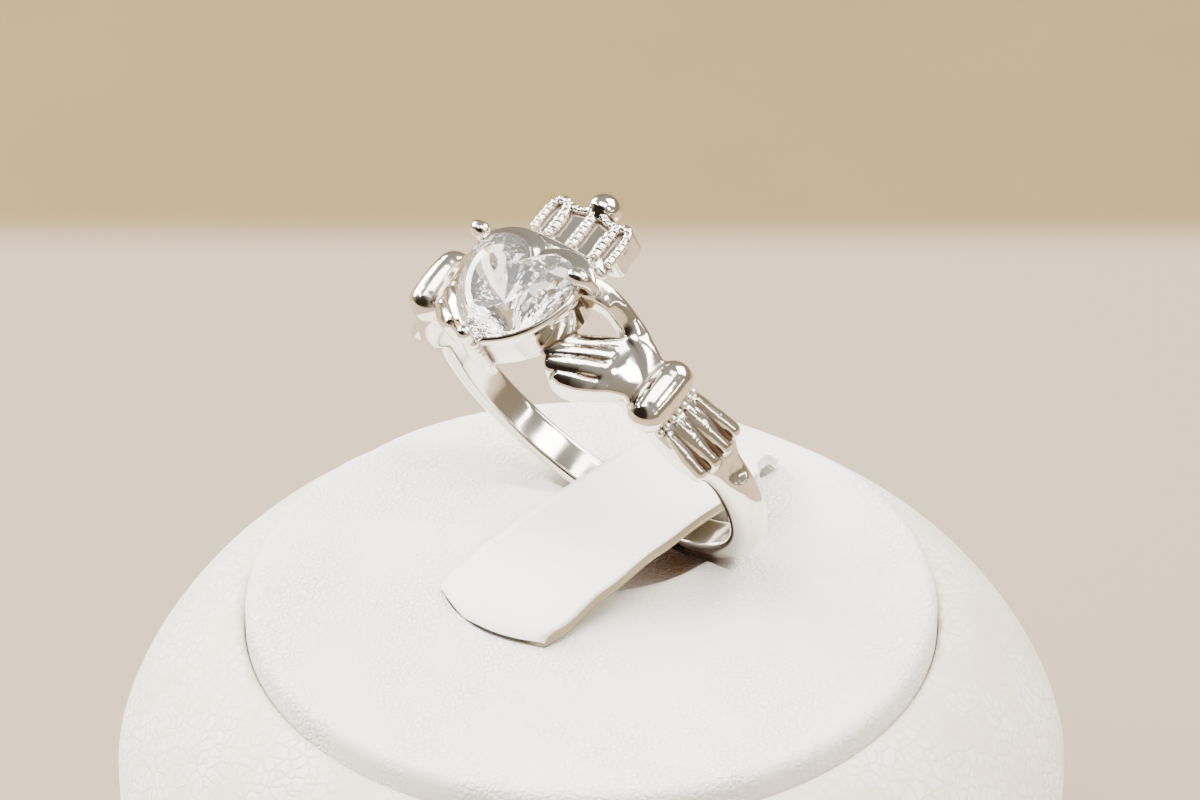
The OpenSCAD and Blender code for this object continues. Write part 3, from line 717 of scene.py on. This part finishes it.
def cast_setting(half):
    """Basket round the stone, its rim, the claw at the tip and the arch over the lobes."""
    ring = sizes()
    place = heart_places()
    girdle = place.girdle
    outline = heart_outline()
    low, high = (-0.5, -4.5, girdle - 3.4), (4.2, 3.6, girdle + 0.6)
    where, (x, y, z) = half.window(low, high)
    flat = outline_distance(outline, x, y).astype(np.float32)
    # Wall, a little narrower at its foot
    lean = (girdle - z) * 0.06
    wall = slab(np.abs(flat + 0.06 + lean) - 0.19, z, girdle - 2.45, girdle - 0.28, 0.06)
    rim = slab(np.abs(flat + 0.04) - 0.17, z, girdle - 0.62, girdle - 0.14, 0.12)
    half.field[where] = near_min(half.field[where], near_min(wall, rim, 0.12), 0.10)
    half.add_strand([(0, place.tip - 0.10, girdle - 0.3), (0, place.tip - 0.16, place.ball)],
                    [0.34, ring.prong_r * 0.92], 0.06)
    rows = curve([[place.tip + p, girdle - d, w, t] for d, p, w, t in CLAW], 14)

    def claw(x, y, z):
        return least((np.sqrt((x / w) ** 2 + ((y - cy) / t) ** 2 + ((z - cz) / 0.34) ** 2) - 1) * min(t, 0.3)
                     for cy, cz, w, t in rows)

    half.add(claw, (-0.5, place.tip - 1.2, girdle - 3.8), (1.4, place.tip + 1.0, girdle + 0.6), 0.08)
    # Arch over the lobes, sloping out from the girdle
    outer = slab(flat - 0.74, z, girdle - 1.9, girdle - 0.10, 0.14)
    slope = (flat - 0.12) * 0.42 + (z - girdle + 0.22) * 0.91
    body = np.maximum(np.maximum(outer, slope), np.maximum(0.12 - flat - 0.2, 1.15 + 0.10 * x - y))
    half.field[where] = near_min(half.field[where], body.astype(np.float32), 0.16)


CROWN = [[-0.42, 0], [-0.47, 0.42], [-0.47, 0.70], [-0.37, 0.82], [-0.25, 0.77], [-0.13, 0.82], [-0.08, 0.95]]
# Beaded ridges of the crown, as shares of its width and length, and of a bead's radius
RIDGES = [
    ([[0.278, 0.05], [0.270, 0.28], [0.280, 0.50], [0.305, 0.66], [0.36, 0.75], [0.42, 0.69], [0.452, 0.52],
      [0.460, 0.28], [0.456, 0.04]], (1.15, 1.35, 1.25, 1.05, 1.0, 0.95, 0.95, 0.95, 1.0)),
    ([[0.0, 0.04], [0.0, 0.26], [0.0, 0.50], [0.0, 0.74]], (1.3, 1.3, 1.25, 1.2)),
    ([[0.07, 0.77], [0.15, 0.71], [0.22, 0.69], [0.29, 0.70]], (0.9, 0.85, 0.85, 0.9)),
]


def crown_y():
    """Place of the crown's foot along the finger."""
    return heart_places().top + 1.35


def ridge_line(ridge, shares, count, rise=0.0, side=1):
    """Smooth line along a ridge of the crown, with its share of a bead's radius at each point."""
    ring, foot = sizes(), crown_y()
    face = ring.finger_d / 2 + ring.crown_h
    return curve([(side * u * ring.crown_w, foot + v * ring.crown_l, face + rise, share)
                  for (u, v), share in zip(ridge, shares)], count)


def cast_crown(half):
    """Crown: a thick plate with sunk panels between its ridges, and a ball on its middle point."""
    ring = sizes()
    width, tall, foot = ring.crown_w, ring.crown_l, crown_y()
    face = ring.finger_d / 2 + ring.crown_h
    left = [(u * width, foot + v * tall) for u, v in CROWN]
    outline = left + [(-x, y) for x, y in left[::-1]]
    outline = curve(outline + outline[:1], 60)[:-1]
    low, high = (-0.5, foot - 1.2, face - 2.0), (width / 2 + 0.6, foot + tall + 1.0, face + 0.9)
    where, (x, y, z) = half.window(low, high)
    flat = outline_distance(outline, x, y).astype(np.float32)
    plate = slab(flat, z, face - 1.35, face - 0.06, 0.16)
    half.field[where] = near_min(half.field[where], plate, 0.1)
    for ridge, shares in RIDGES:
        path = ridge_line(ridge, shares, 40)
        half.add_strand(path[:, :3], path[:, 3] * ring.bead_r * 0.99, 0.03)
    ball = 3.6 * ring.bead_r
    half.add_strand([(0, foot + tall * 0.88, face - 0.35), (0, foot + tall * 0.93, face - 0.31)],
                    [ball * 0.9, ball], 0.06)
    # Foot of the crown, from the arch to the plate
    girdle = heart_places().girdle
    for y, z, r, w in ((foot - 0.55, girdle - 1.35, 0.34, 1.9), (foot - 0.2, face - 0.45, 0.42, 2.1)):
        half.add_strand([(-0.5, y, z), (w - 0.2, y - 0.05, z), (w, y - 0.12, z)], [r, r, r * 0.8], 0.25)


class MESH_OT_cast_ring(bpy.types.Operator):
    """Cast the ring: shank, cuffs, hands, heart basket and crown in one piece"""
    bl_idname = "mesh.cast_claddagh_ring"
    bl_label = "Cast ring"

    def execute(self, context):
        ring = sizes()
        step = ring.grain * 1
        hollow = ring.finger_d / 2
        half = Casting((0, -4.9 - step / 3, -hollow - 1.8), (hollow + 2.6, 7.6, hollow + 5.2), step)
        cast_band(half)
        cast_cuff(half)
        cast_hand(half)
        cast_setting(half)
        cast_crown(half)
        half.add(lambda x, y, z: np.hypot(x, z) - hollow + 0 * y, *half.ends(), 0.10, carve=True)
        points, quads, dip = half.mirrored().skin()
        keep(new_object("claddagh_ring", from_ring(points), quads.tolist(), silver(), hollow=dip), "silver", "ring")
        return {"FINISHED"}


def bead_tree():
    """Geometry nodes: beads at an even spacing along the edges of the mesh they are given."""
    tree = bpy.data.node_groups.new("beads_on_lines", "GeometryNodeTree")
    for name, kind in (("Geometry", "Geometry"), ("Spacing", "Float"), ("Radius", "Float"), ("Material", "Material")):
        tree.interface.new_socket(name, in_out="INPUT", socket_type="NodeSocket" + kind)
    tree.interface.new_socket("Geometry", in_out="OUTPUT", socket_type="NodeSocketGeometry")
    given = tree.nodes.new("NodeGroupInput").outputs
    line = add_node(tree, "GeometryNodeMeshToCurve", {"Mesh": given["Geometry"]})
    even = add_node(tree, "GeometryNodeResampleCurve", {
        "Curve": line, "Length": given["Spacing"]}, mode="LENGTH")
    bead = add_node(tree, "GeometryNodeMeshIcoSphere", {"Radius": given["Radius"], "Subdivisions": 2})
    soft = add_node(tree, "GeometryNodeSetShadeSmooth", {"Geometry": bead})
    share = add_node(tree, "GeometryNodeInputNamedAttribute", {"Name": "share"}, data_type="FLOAT")
    copies = add_node(tree, "GeometryNodeInstanceOnPoints", {
        "Points": even, "Instance": soft, "Scale": share})
    real = add_node(tree, "GeometryNodeRealizeInstances", {"Geometry": copies})
    finish = add_node(tree, "GeometryNodeSetMaterial", {
        "Geometry": real, "Material": given["Material"]})
    add_node(tree, "NodeGroupOutput", {"Geometry": finish})
    return tree


def beads_on(name, lines, spacing, radius):
    """Mesh object of beads along lines of points in the ring's frame, each with its share of the radius."""
    points, edges = [], []
    for line in lines:
        edges += [(len(points) + i, len(points) + i + 1) for i in range(len(line) - 1)]
        points += list(line)
    points = np.array(points)
    mesh = bpy.data.meshes.new(name + "_lines")
    mesh.from_pydata(from_ring(points[:, :3]).tolist(), edges, [])
    mesh.attributes.new("share", "FLOAT", "POINT").data.foreach_set("value", points[:, 3].astype(np.float32))
    carrier = link(name + "_lines", mesh)
    tree = bpy.data.node_groups.get("beads_on_lines") or bead_tree()
    modifier = carrier.modifiers.new("beads", "NODES")
    modifier.node_group = tree
    names = {s.name: s.identifier for s in tree.interface.items_tree if s.in_out == "INPUT"}
    modifier[names["Spacing"]], modifier[names["Radius"]] = spacing * MM, radius * MM
    modifier[names["Material"]] = beaded_silver()
    ready = carrier.evaluated_get(bpy.context.evaluated_depsgraph_get())
    obj = link(name, bpy.data.meshes.new_from_object(ready))
    bpy.data.objects.remove(carrier)
    return obj


class MESH_OT_bead_ring(bpy.types.Operator):
    """Raise the beads along the crown's ridges and the milled line beside each rolled edge"""
    bl_idname = "mesh.bead_claddagh_ring"
    bl_label = "Bead ring"

    def execute(self, context):
        ring = sizes()
        hollow = ring.finger_d / 2
        lines = []
        for side in (-1, 1):
            tops = [(y, hollow + 0.60 + 0.98 * (1 - abs(y / 1.6) ** 3) ** (1 / 3)) for y in np.linspace(-1.3, 1.3, 15)]
            lines.append([(*polar(side * MILLED_AT, top, y), 1.0) for y, top in tops])
        keep(beads_on("cuff_beads", lines, MILLED_GAP, MILLED_R), "silver", "ring")
        # The middle ridge lies on both sides, so it is beaded once
        lines = [ridge_line(*row, 60, 0.02, side) for side, row in product((-1, 1), RIDGES)
                 if side > 0 or row[0][-1][0] != 0]
        keep(beads_on("crown_beads", lines, ring.bead_gap, ring.bead_r * 1.09), "silver", "ring")
        return {"FINISHED"}


# Facets once round the stone, and its levels from the table down: share of its outline, height over the
# girdle, half a facet round
FACETS = 26
CUT = [(0.54, 0.95, 1), (0.69, 0.78, 0), (0.86, 0.44, 1), (1.0, 0.09, 0), (1.0, -0.09, 0), (0.82, -0.58, 1),
       (0.58, -1.16, 0), (0.32, -1.80, 1)]


class MESH_OT_set_stone(bpy.types.Operator):
    """Cut the heart stone with its table and rows of small facets"""
    bl_idname = "mesh.set_heart_stone"
    bl_label = "Set stone"

    def execute(self, context):
        place = heart_places()
        rim = np.roll(heart_outline()[::-1], 1, 0)
        rim = np.concatenate([rim, rim[:1]])
        along = np.concatenate([[0], np.cumsum(np.hypot(*np.diff(rim, axis=0).T))])
        middle = np.array((0, place.tip + 0.62 * (place.lobe[1] - place.tip)))
        points, faces = [], [tuple(range(FACETS))]
        for share, height, half in CUT:
            for i in range(FACETS):
                s = (i + half / 2) / FACETS * along[-1]
                p = middle + share * (np.array([np.interp(s, along, rim[:, k]) for k in (0, 1)]) - middle)
                points.append((*p, place.girdle + height))
        for k, i in product(range(len(CUT) - 1), range(FACETS)):
            j = (i + 1) % FACETS
            a, b, c, d = k * FACETS + i, k * FACETS + j, (k + 1) * FACETS + i, (k + 1) * FACETS + j
            if CUT[k][2] == CUT[k + 1][2]:
                faces.append((a, c, d, b))
            elif CUT[k][2]:
                faces += [(a, c, d), (a, d, b)]
            else:
                faces += [(a, c, b), (c, d, b)]
        last = (len(CUT) - 1) * FACETS
        faces += [(last + i, len(points), last + (i + 1) % FACETS) for i in range(FACETS)]
        points.append((*middle, place.girdle - 2.45))
        # Painted fire: a random tint for each facet
        stone = new_object("cut_heart_stone", from_ring(points), faces, once("cubic_zirconia_cut", cut_zirconia),
                           smooth=False, domain="FACE", fire=np.random.default_rng(5).random(len(faces)))
        keep(stone, "heart_stone", "heart_stone")
        return {"FINISHED"}


# ---- The stand ----

# Soft creases in the disc's skin: start, end, depth, width, in millimetres
CREASES = [
    [(-16.2, 1.6), (-11.0, 4.9), 0.75, 1.1],
    [(-12.6, 4.2), (-5.6, 6.6), 0.85, 1.0],
    [(2.6, 6.0), (11.5, 10.8), 0.28, 1.2],
    [(0.9, -0.2), (2.6, 3.6), 0.12, 1.0],
]
# Dish in the disc's face round the slot for the shank, and the slot for the clip's root
SLOT = [(0.7, 0.9), (1.5, 2.4), (2.2, 4.0), (2.35, 5.7), (2.2, 7.4), (1.4, 9.6), (-4.8, 9.6), (-5.4, 7.0), (-5.4, 2.4),
        (-4.2, 1.0)]
PRESS_DEPTH, SLOT_DEPTH = 0.30, 1.75
ROOT_SLOT = [(CLIP_X + 0.9, 13.5), (CLIP_X + 0.9, 14.7), (CLIP_X - 0.9, 14.7), (CLIP_X - 0.9, 13.5)]


def crease_depth(x, y):
    """Depth of the creases in the disc's face."""
    near = ((near_line(a, b, x, y), depth, width) for a, b, depth, width in CREASES)
    return sum(depth * np.exp(-(away / width) ** 2) * np.sin(np.pi * (0.08 + 0.84 * t))
               for (away, t), depth, width in near)


def slot_share(x, y, start, width):
    """0 outside the disc's slot and 1 well inside it, with a soft step between."""
    return smoothstep(start - outline_distance(curve(SLOT + SLOT[:1], 40)[:-1], x, y) / width)


def disc_dip(x, y):
    """Depth of the dents in the disc's face: the creases, the press of the clip, and the slot."""
    away, _ = near_line((CLIP_X, 0.5), (CLIP_X, 12.5), x, y)
    press = PRESS_DEPTH * np.exp(-(np.maximum(away - 3.2, 0) / 1.6) ** 2) * (away > 0)
    return crease_depth(x, y) + press + SLOT_DEPTH * slot_share(x, y, 0.1, 1.5)


class MESH_OT_pad_disc(bpy.types.Operator):
    """Shape the padded disc with its rounded rim, soft creases and the slot for ring and clip"""
    bl_idname = "mesh.pad_ring_disc"
    bl_label = "Pad disc"

    def execute(self, context):
        stand, ring = sizes("stand_sizes"), sizes()
        radius = stand.disc_d / 2
        step = 0.17
        reach = radius + 0.5
        grid = Casting((-reach, -reach, DISC_LOW - 0.6), (reach, reach, STAND_H + 0.6), step)

        def pad(x, y, z):
            return slab(np.hypot(x, y) - radius, z + disc_dip(x, y) * np.clip((z - STAND_H + 2.4) / 2, 0, 1),
                        DISC_LOW, STAND_H, 0.75)

        grid.add(pad, *grid.ends(), 0.01)
        lean, rise = stand.ring_lean, ring_rise()
        inner, outer = ring.finger_d / 2, ring.finger_d / 2 + ring.band_t
        room = 0.2

        def channel(x, y, z):
            dy, dz = y - RING_Y, z - STAND_H - rise
            along = dy * math.cos(lean) + dz * math.sin(lean)
            up = dz * math.cos(lean) - dy * math.sin(lean)
            r = np.hypot(x - RING_X, up)
            q = np.abs(r - (inner + outer) / 2) - (outer - inner) / 2 - room
            return np.maximum(q, np.abs(along) - ring.band_w / 2 - room)

        grid.add(channel, (-13, -2, STAND_H - 3), (9, 14, STAND_H + 1), 0.25, carve=True)
        deep = STAND_H - stand.ring_sink - 0.24
        grid.add(lambda x, y, z: np.maximum(outline_distance(ROOT_SLOT, x, y), deep - z),
                 (*np.min(ROOT_SLOT, 0) - 1, deep - 1), (*np.max(ROOT_SLOT, 0) + 1, STAND_H + 1), 0.7, carve=True)
        points, quads, _ = grid.skin(2)
        x, y, z = points.T
        r = np.hypot(x, y)
        # Painted shade: the deeper a point lies under the disc's face, the more of the slot's brown it takes
        bare = np.clip((15.6 - r) / 0.3, 0, 1) * np.clip((STAND_H - 0.40 - z) / 1.2, 0, 1) ** 1.2 * (y < 10.5)
        # Painted shade under the raised clip, in the slot's brown, darkest toward the ring
        clip_shade = slot_share(x, y, 0.42, 1.3) * np.clip(0.58 + 0.08 * y, 0.65, 1.0)
        # Painted shade in the creases and on the rim against the base's lip, in the slot's brown
        crease_shade = 0.14 * np.clip(crease_depth(x, y) / 0.6, 0, 1) ** 2
        rim = 0.08 * np.clip((r - radius + 0.45) / 0.4, 0, 1)
        bare = np.where(z > STAND_H - 3, reduce(np.maximum, (bare, clip_shade, crease_shade, rim)), bare)
        skin = leatherette("white_leatherette_disc", "leather", 0.36, 0.14, 0.09, 0.26, "slot")
        # On the disc the mask 'cut' holds only painted shade, in the slot's brown
        disc = new_object("padded_disc", points * MM, quads.tolist(), skin, cut=bare)
        keep(disc, "stand_leatherette", "stand_top")
        return {"FINISHED"}


def tube_faces(rows, around):
    """Quads between rows of points, and a face at each end."""
    faces = [(i * around + j, i * around + (j + 1) % around, (i + 1) * around + (j + 1) % around, (i + 1) * around + j)
             for i in range(rows - 1) for j in range(around)]
    return faces + [list(range(around))[::-1], list(range((rows - 1) * around, rows * around))]


class MESH_OT_turn_base(bpy.types.Operator):
    """Turn the round base with its domed shoulder and the well that the disc sits in"""
    bl_idname = "mesh.turn_ring_base"
    bl_label = "Turn base"

    def execute(self, context):
        stand = sizes("stand_sizes")
        outer, well = stand.base_d / 2, stand.disc_d / 2 + 0.04
        tall = stand.shoulder_h
        profile = [(0.01, 0), (outer - 3, 0), (outer - 0.9, 0.0), (outer - 0.45, 0.08), (outer - 0.1, 0.4),
                   (outer, 0.9)]
        profile += [(outer, z) for z in np.linspace(1.6, BASE_TOP - tall, 14)]
        for b in np.linspace(90, 4, 30):
            s, c = math.sin(math.radians(b)) ** 1.45, math.cos(math.radians(b)) ** 1.45
            profile.append((well + 0.38 + (outer - well - 0.38) * s, BASE_TOP - tall + tall * c))
        profile += [(well + 0.26, BASE_TOP - 0.03), (well + 0.10, BASE_TOP - 0.12), (well + 0.02, BASE_TOP - 0.3),
                    (well, BASE_TOP - 0.6)]
        floor = DISC_LOW - 0.12
        profile += [(well, floor + 0.1), (well - 0.1, floor), (0.01, floor)]
        turns = 192
        angles = np.linspace(0, 2 * math.pi, turns, endpoint=False)
        points = [(r * math.cos(a), r * math.sin(a), z) for r, z in profile for a in angles]
        # Painted shade on the lip against the disc, in the cut edge's colour
        lip_shade = [0.35 if r < well + 0.2 else 0.0 for r, _ in profile for _ in range(turns)]
        skin = leatherette("white_leatherette_base", "leather", 0.66, 0.08, 0.27, 0.17)
        faces = tube_faces(len(profile), turns)
        base = new_object("stand_base_leatherette", np.array(points) * MM, faces, skin, cut=lip_shade)
        keep(base, "stand_leatherette", "stand_base")
        return {"FINISHED"}


# Clip, from its free end to its root: share of length, half width, thickness, height of the rise, curl
CLIP = np.array([
    [0.00, 0.93, 0.55, 0.00, 0.05],
    [0.06, 0.99, 0.72, 0.00, 0.10],
    [0.20, 1.00, 0.92, 0.12, 0.45],
    [0.40, 1.00, 1.00, 0.60, 0.80],
    [0.58, 1.00, 1.00, 1.00, 1.00],
    [0.74, 0.98, 1.00, 1.00, 1.00],
    [0.84, 0.66, 1.00, 0.34, 0.60],
    [0.91, 0.38, 1.00, 0.00, 0.30],
    [0.95, 0.30, 1.00, -1.60, 0.10],
    [1.00, 0.28, 1.00, -8.50, 0.00],
])
# Thickness of the clip's leather, and length over which its free end is rounded
CLIP_LEATHER, CLIP_ROUND = 0.55, 0.5


def clip_value(share, column):
    """A column of the clip's table at a share of its length, eased between rows."""
    i = int(np.clip(np.searchsorted(CLIP[:, 0], share, "right") - 1, 0, len(CLIP) - 2))
    ease = smoothstep((share - CLIP[i, 0]) / (CLIP[i + 1, 0] - CLIP[i, 0]))
    return CLIP[i, column] + (CLIP[i + 1, column] - CLIP[i, column]) * ease


class MESH_OT_fit_clip(bpy.types.Operator):
    """Cut the leatherette clip, bowed at its free end and curled over the ring's shank"""
    bl_idname = "mesh.fit_ring_clip"
    bl_label = "Fit clip"

    def execute(self, context):
        stand, ring = sizes("stand_sizes"), sizes()
        rise, lean, inner = ring_rise(), stand.ring_lean, ring.finger_d / 2

        def lift(x):
            """Height of the shank's inside over the disc's face, under the clip."""
            return (rise + ring.band_w / 2 * math.sin(lean) + 0.12
                    - math.cos(lean) * math.sqrt(inner ** 2 - (x - RING_X) ** 2))

        across, along, round_edge = 28, 110, 0.16
        turn = np.linspace(0, math.pi, 7)[1:-1]
        # Once round a section: place across, from -1 to 1, and height, from 0 at the underside to 1
        section = [(q, 1) for q in np.linspace(-1, 1, across)] + [(1, 0.5 + 0.5 * math.cos(b)) for b in turn]
        section += [(q, 0) for q in np.linspace(1, -1, across)] + [(-1, 0.5 - 0.5 * math.cos(b)) for b in turn]
        points, bare = [], []
        for s in np.linspace(0, 1, along):
            half_w, thick = stand.clip_w / 2 * clip_value(s, 1), stand.clip_t * clip_value(s, 2)
            leather = min(thick, CLIP_LEATHER)
            end = min(s * stand.clip_l / CLIP_ROUND, 1)
            t_end = leather * (0.35 + 0.65 * math.sqrt(1 - (1 - end) ** 2))
            bow = max(1 - s / 0.2, 0) ** 2
            for q, up in section:
                edge = round_edge * (1 - math.sqrt(max(1 - (2 * up - 1) ** 2, 0))) if abs(q) == 1 else 0.0
                x = CLIP_X + half_w * q + math.copysign(edge, q)
                y = s * stand.clip_l - stand.clip_front - bow * (1 - q * q)
                base = lift(RING_X) * clip_value(s, 3) + (lift(x) - lift(RING_X)) * clip_value(s, 4)
                z = STAND_H + 0.03 + base + thick - leather + (leather - t_end) * 0.15 + t_end * up
                points.append((x, y, z))
                bare.append(0.0 if up > 0.98 or s > 0.84 else 1.0)
        skin = leatherette("white_leatherette_clip", "clip", 0.30, 0.03, 0.03)
        clip = new_object("leatherette_clip", np.array(points) * MM, tube_faces(along, len(section)), skin, cut=bare)
        keep(clip, "clip_leatherette", "ring_clip")
        return {"FINISHED"}


# ---- The stage ----

WHITE = "#FFFFFF"
# Point that the soft boxes face, in metres
LIT_POINT = np.array([0, 0, 0.035])
# Soft boxes: direction from that point, size in metres, radiance, tint
LIGHTS = {
    "window_left": ((-0.92, -0.06, 0.38), (0.40, 0.28), 27.0, WHITE),
    "window_high": ((0.76, -0.05, 0.65), (0.15, 0.16), 20.0, WHITE),
    "strip_right": ((0.926, 0.16, 0.34), (0.34, 0.016), 24.0, WHITE),
    "soft_box_behind": ((0.25, 0.62, 0.74), (0.50, 0.42), 14.0, "#FFFBF5"),
    "strip_left": ((-0.60, -0.42, 0.68), (0.30, 0.05), 26.0, WHITE),
    "soft_box_above": ((0.05, -0.20, 0.98), (0.54, 0.26), 11.0, WHITE),
}


def soft_box(name, direction, size, radiance, tint, distance=0.60):
    """Soft box in a direction from the ring, facing it."""
    data = bpy.data.lights.new(name, "AREA")
    data.shape = "RECTANGLE"
    data.size, data.size_y = size
    data.energy = radiance * size[0] * size[1] * math.pi
    data.color = linear(tint)[:3]
    obj = link(name, data)
    aim(obj, LIT_POINT + distance * np.array(direction) / np.linalg.norm(direction), LIT_POINT)
    return obj


def aim(obj, place, look):
    """Puts an object at a place with its -Z toward a point and its X level."""
    place, look = np.array(place, float), np.array(look, float)
    back = (place - look) / np.linalg.norm(place - look)
    right = np.cross((0, 0, 1), back)
    right /= np.linalg.norm(right)
    up = np.cross(back, right)
    rows = [[right[k], up[k], back[k], place[k]] for k in range(3)] + [[0, 0, 0, 1]]
    obj.matrix_world = mathutils.Matrix(rows)


# Way across the floor from the camera, and the distances along it in metres over which card gives way to cloth
BEHIND = (-0.678, 0.735, 0.0)
CLOTH_EDGE = (0.0745, 0.0805)


def card_and_cloth(name):
    """Pale matt card that the stand is on, and the tan cloth that begins behind it."""
    m, tree, shader = new_material(name, Roughness=0.75, Specular_IOR_Level=0.2)
    where = add_node(tree, "ShaderNodeTexCoord").outputs["Object"]
    behind = add_node(tree, "ShaderNodeVectorMath", {0: where, 1: BEHIND}, operation="DOT_PRODUCT")
    share = add_node(tree, "ShaderNodeMapRange", {
        "Value": behind, "From Min": CLOTH_EDGE[0], "From Max": CLOTH_EDGE[1]}, interpolation_type="SMOOTHSTEP")
    weave = add_node(tree, "ShaderNodeTexNoise", {"Vector": where, "Scale": spaced(11.1111), "Detail": 4.0})
    wall = colour("wall")
    lighter = tuple(min(c * 1.08, 1) for c in wall[:3]) + (1,)
    cloth = add_node(tree, "ShaderNodeMix", {"Factor": weave, "A": wall, "B": lighter}, data_type="RGBA")
    mix = add_node(tree, "ShaderNodeMix", {"Factor": share, "A": colour("floor"), "B": cloth}, data_type="RGBA")
    set_inputs(shader, {"Base Color": mix})
    return m


def room_light():
    """Dim room round the soft boxes: grey above, tan at the horizon, and dark where the camera's side is unlit."""
    world = bpy.data.worlds.new("room")
    bpy.context.scene.world = world
    world.use_nodes = True
    tree = world.node_tree
    way = add_node(tree, "ShaderNodeTexCoord").outputs["Generated"]
    up = add_node(tree, "ShaderNodeSeparateXYZ", {"Vector": way}).outputs["Z"]
    high = add_node(tree, "ShaderNodeMapRange", {
        "Value": up, "From Min": 0.0, "From Max": 0.8}, interpolation_type="SMOOTHSTEP")
    room = add_node(tree, "ShaderNodeMix", {
        "Factor": high, "A": linear("#A8977F"), "B": linear("#B4B0A8")}, data_type="RGBA")
    toward = add_node(tree, "ShaderNodeVectorMath", {0: way, 1: (-0.10, -0.95, 0.28)}, operation="DOT_PRODUCT")
    dark = add_node(tree, "ShaderNodeMapRange", {
        "Value": toward, "From Min": 0.55, "From Max": 0.85}, interpolation_type="SMOOTHSTEP")
    mix = add_node(tree, "ShaderNodeMix", {"Factor": dark, "A": room, "B": linear("#352B25")}, data_type="RGBA")
    set_inputs(tree.nodes["Background"], {"Color": mix, "Strength": 1.0})


# Camera's place over the disc's face in metres, the way back from what it looks at, and focal length
CAMERA_PLACE = np.array([0.166356, -0.179648, 0.173356])
CAMERA_BACK = np.array([0.5653, -0.6126, 0.5524])
FOCAL_LENGTH = 182.21
FLOOR_REACH = 1.2


class SCENE_OT_set_stage(bpy.types.Operator):
    """Lay the floor and backdrop, and place the camera and the lights"""
    bl_idname = "scene.set_ring_stage"
    bl_label = "Set stage"

    def execute(self, context):
        corners = [(x * FLOOR_REACH, y * FLOOR_REACH, 0) for x, y in ((-1, -1), (1, -1), (1, 1), (-1, 1))]
        new_object("floor", corners, [(0, 1, 2, 3)], once("pale_card_and_tan_cloth", card_and_cloth))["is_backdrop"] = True
        lens = bpy.data.cameras.new("camera")
        lens.sensor_width, lens.lens = 36, FOCAL_LENGTH
        lens.clip_start, lens.clip_end = 0.01, 20
        camera = link("camera", lens)
        place = CAMERA_PLACE + [0, 0, STAND_H * MM]
        aim(camera, place, place - CAMERA_BACK)
        context.scene.camera = camera
        for name, values in LIGHTS.items():
            soft_box(name, *values)
        # Fill for the leatherette alone; polished silver would mirror it
        fill = soft_box("fill_front", (-0.45, -0.55, 0.75), (0.8, 0.8), 6.4, WHITE, 0.70)
        fill.visible_glossy = False
        room_light()
        return {"FINISHED"}


class VIEW3D_PT_ring(bpy.types.Panel):
    """Lists the ring's pieces and their sizes"""
    bl_label = "Claddagh ring"
    bl_idname = "VIEW3D_PT_claddagh_ring"
    bl_space_type = "VIEW_3D"
    bl_region_type = "UI"
    bl_category = "Ring"

    def draw(self, context):
        for operator in OPERATORS:
            self.layout.operator(operator.bl_idname)
        for group in GROUPS:
            box = self.layout.box()
            data = getattr(context.scene, group)
            for name in GROUPS[group].__annotations__:
                box.prop(data, name)


GROUPS = {"ring_sizes": RingSizes, "stand_sizes": StandSizes, "ring_colours": Colours}
OPERATORS = (SCENE_OT_set_stage, MESH_OT_turn_base, MESH_OT_pad_disc, MESH_OT_fit_clip, MESH_OT_cast_ring,
             MESH_OT_bead_ring, MESH_OT_set_stone)


def register():
    for cls in (*GROUPS.values(), *OPERATORS, VIEW3D_PT_ring):
        bpy.utils.register_class(cls)
    for name, cls in GROUPS.items():
        setattr(bpy.types.Scene, name, bpy.props.PointerProperty(type=cls))


def unregister():
    for name in GROUPS:
        delattr(bpy.types.Scene, name)
    for cls in (VIEW3D_PT_ring, *OPERATORS[::-1], *GROUPS.values()):
        bpy.utils.unregister_class(cls)


def main():
    register()
    for operator in OPERATORS:
        group, name = operator.bl_idname.split(".")
        getattr(getattr(bpy.ops, group), name)()
    plain = lambda box: [[float(v) for v in corner] for corner in box]
    {"cad": plain(CAD_BOX), "visual": plain(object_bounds())}


if __name__ == "__main__":
    main()
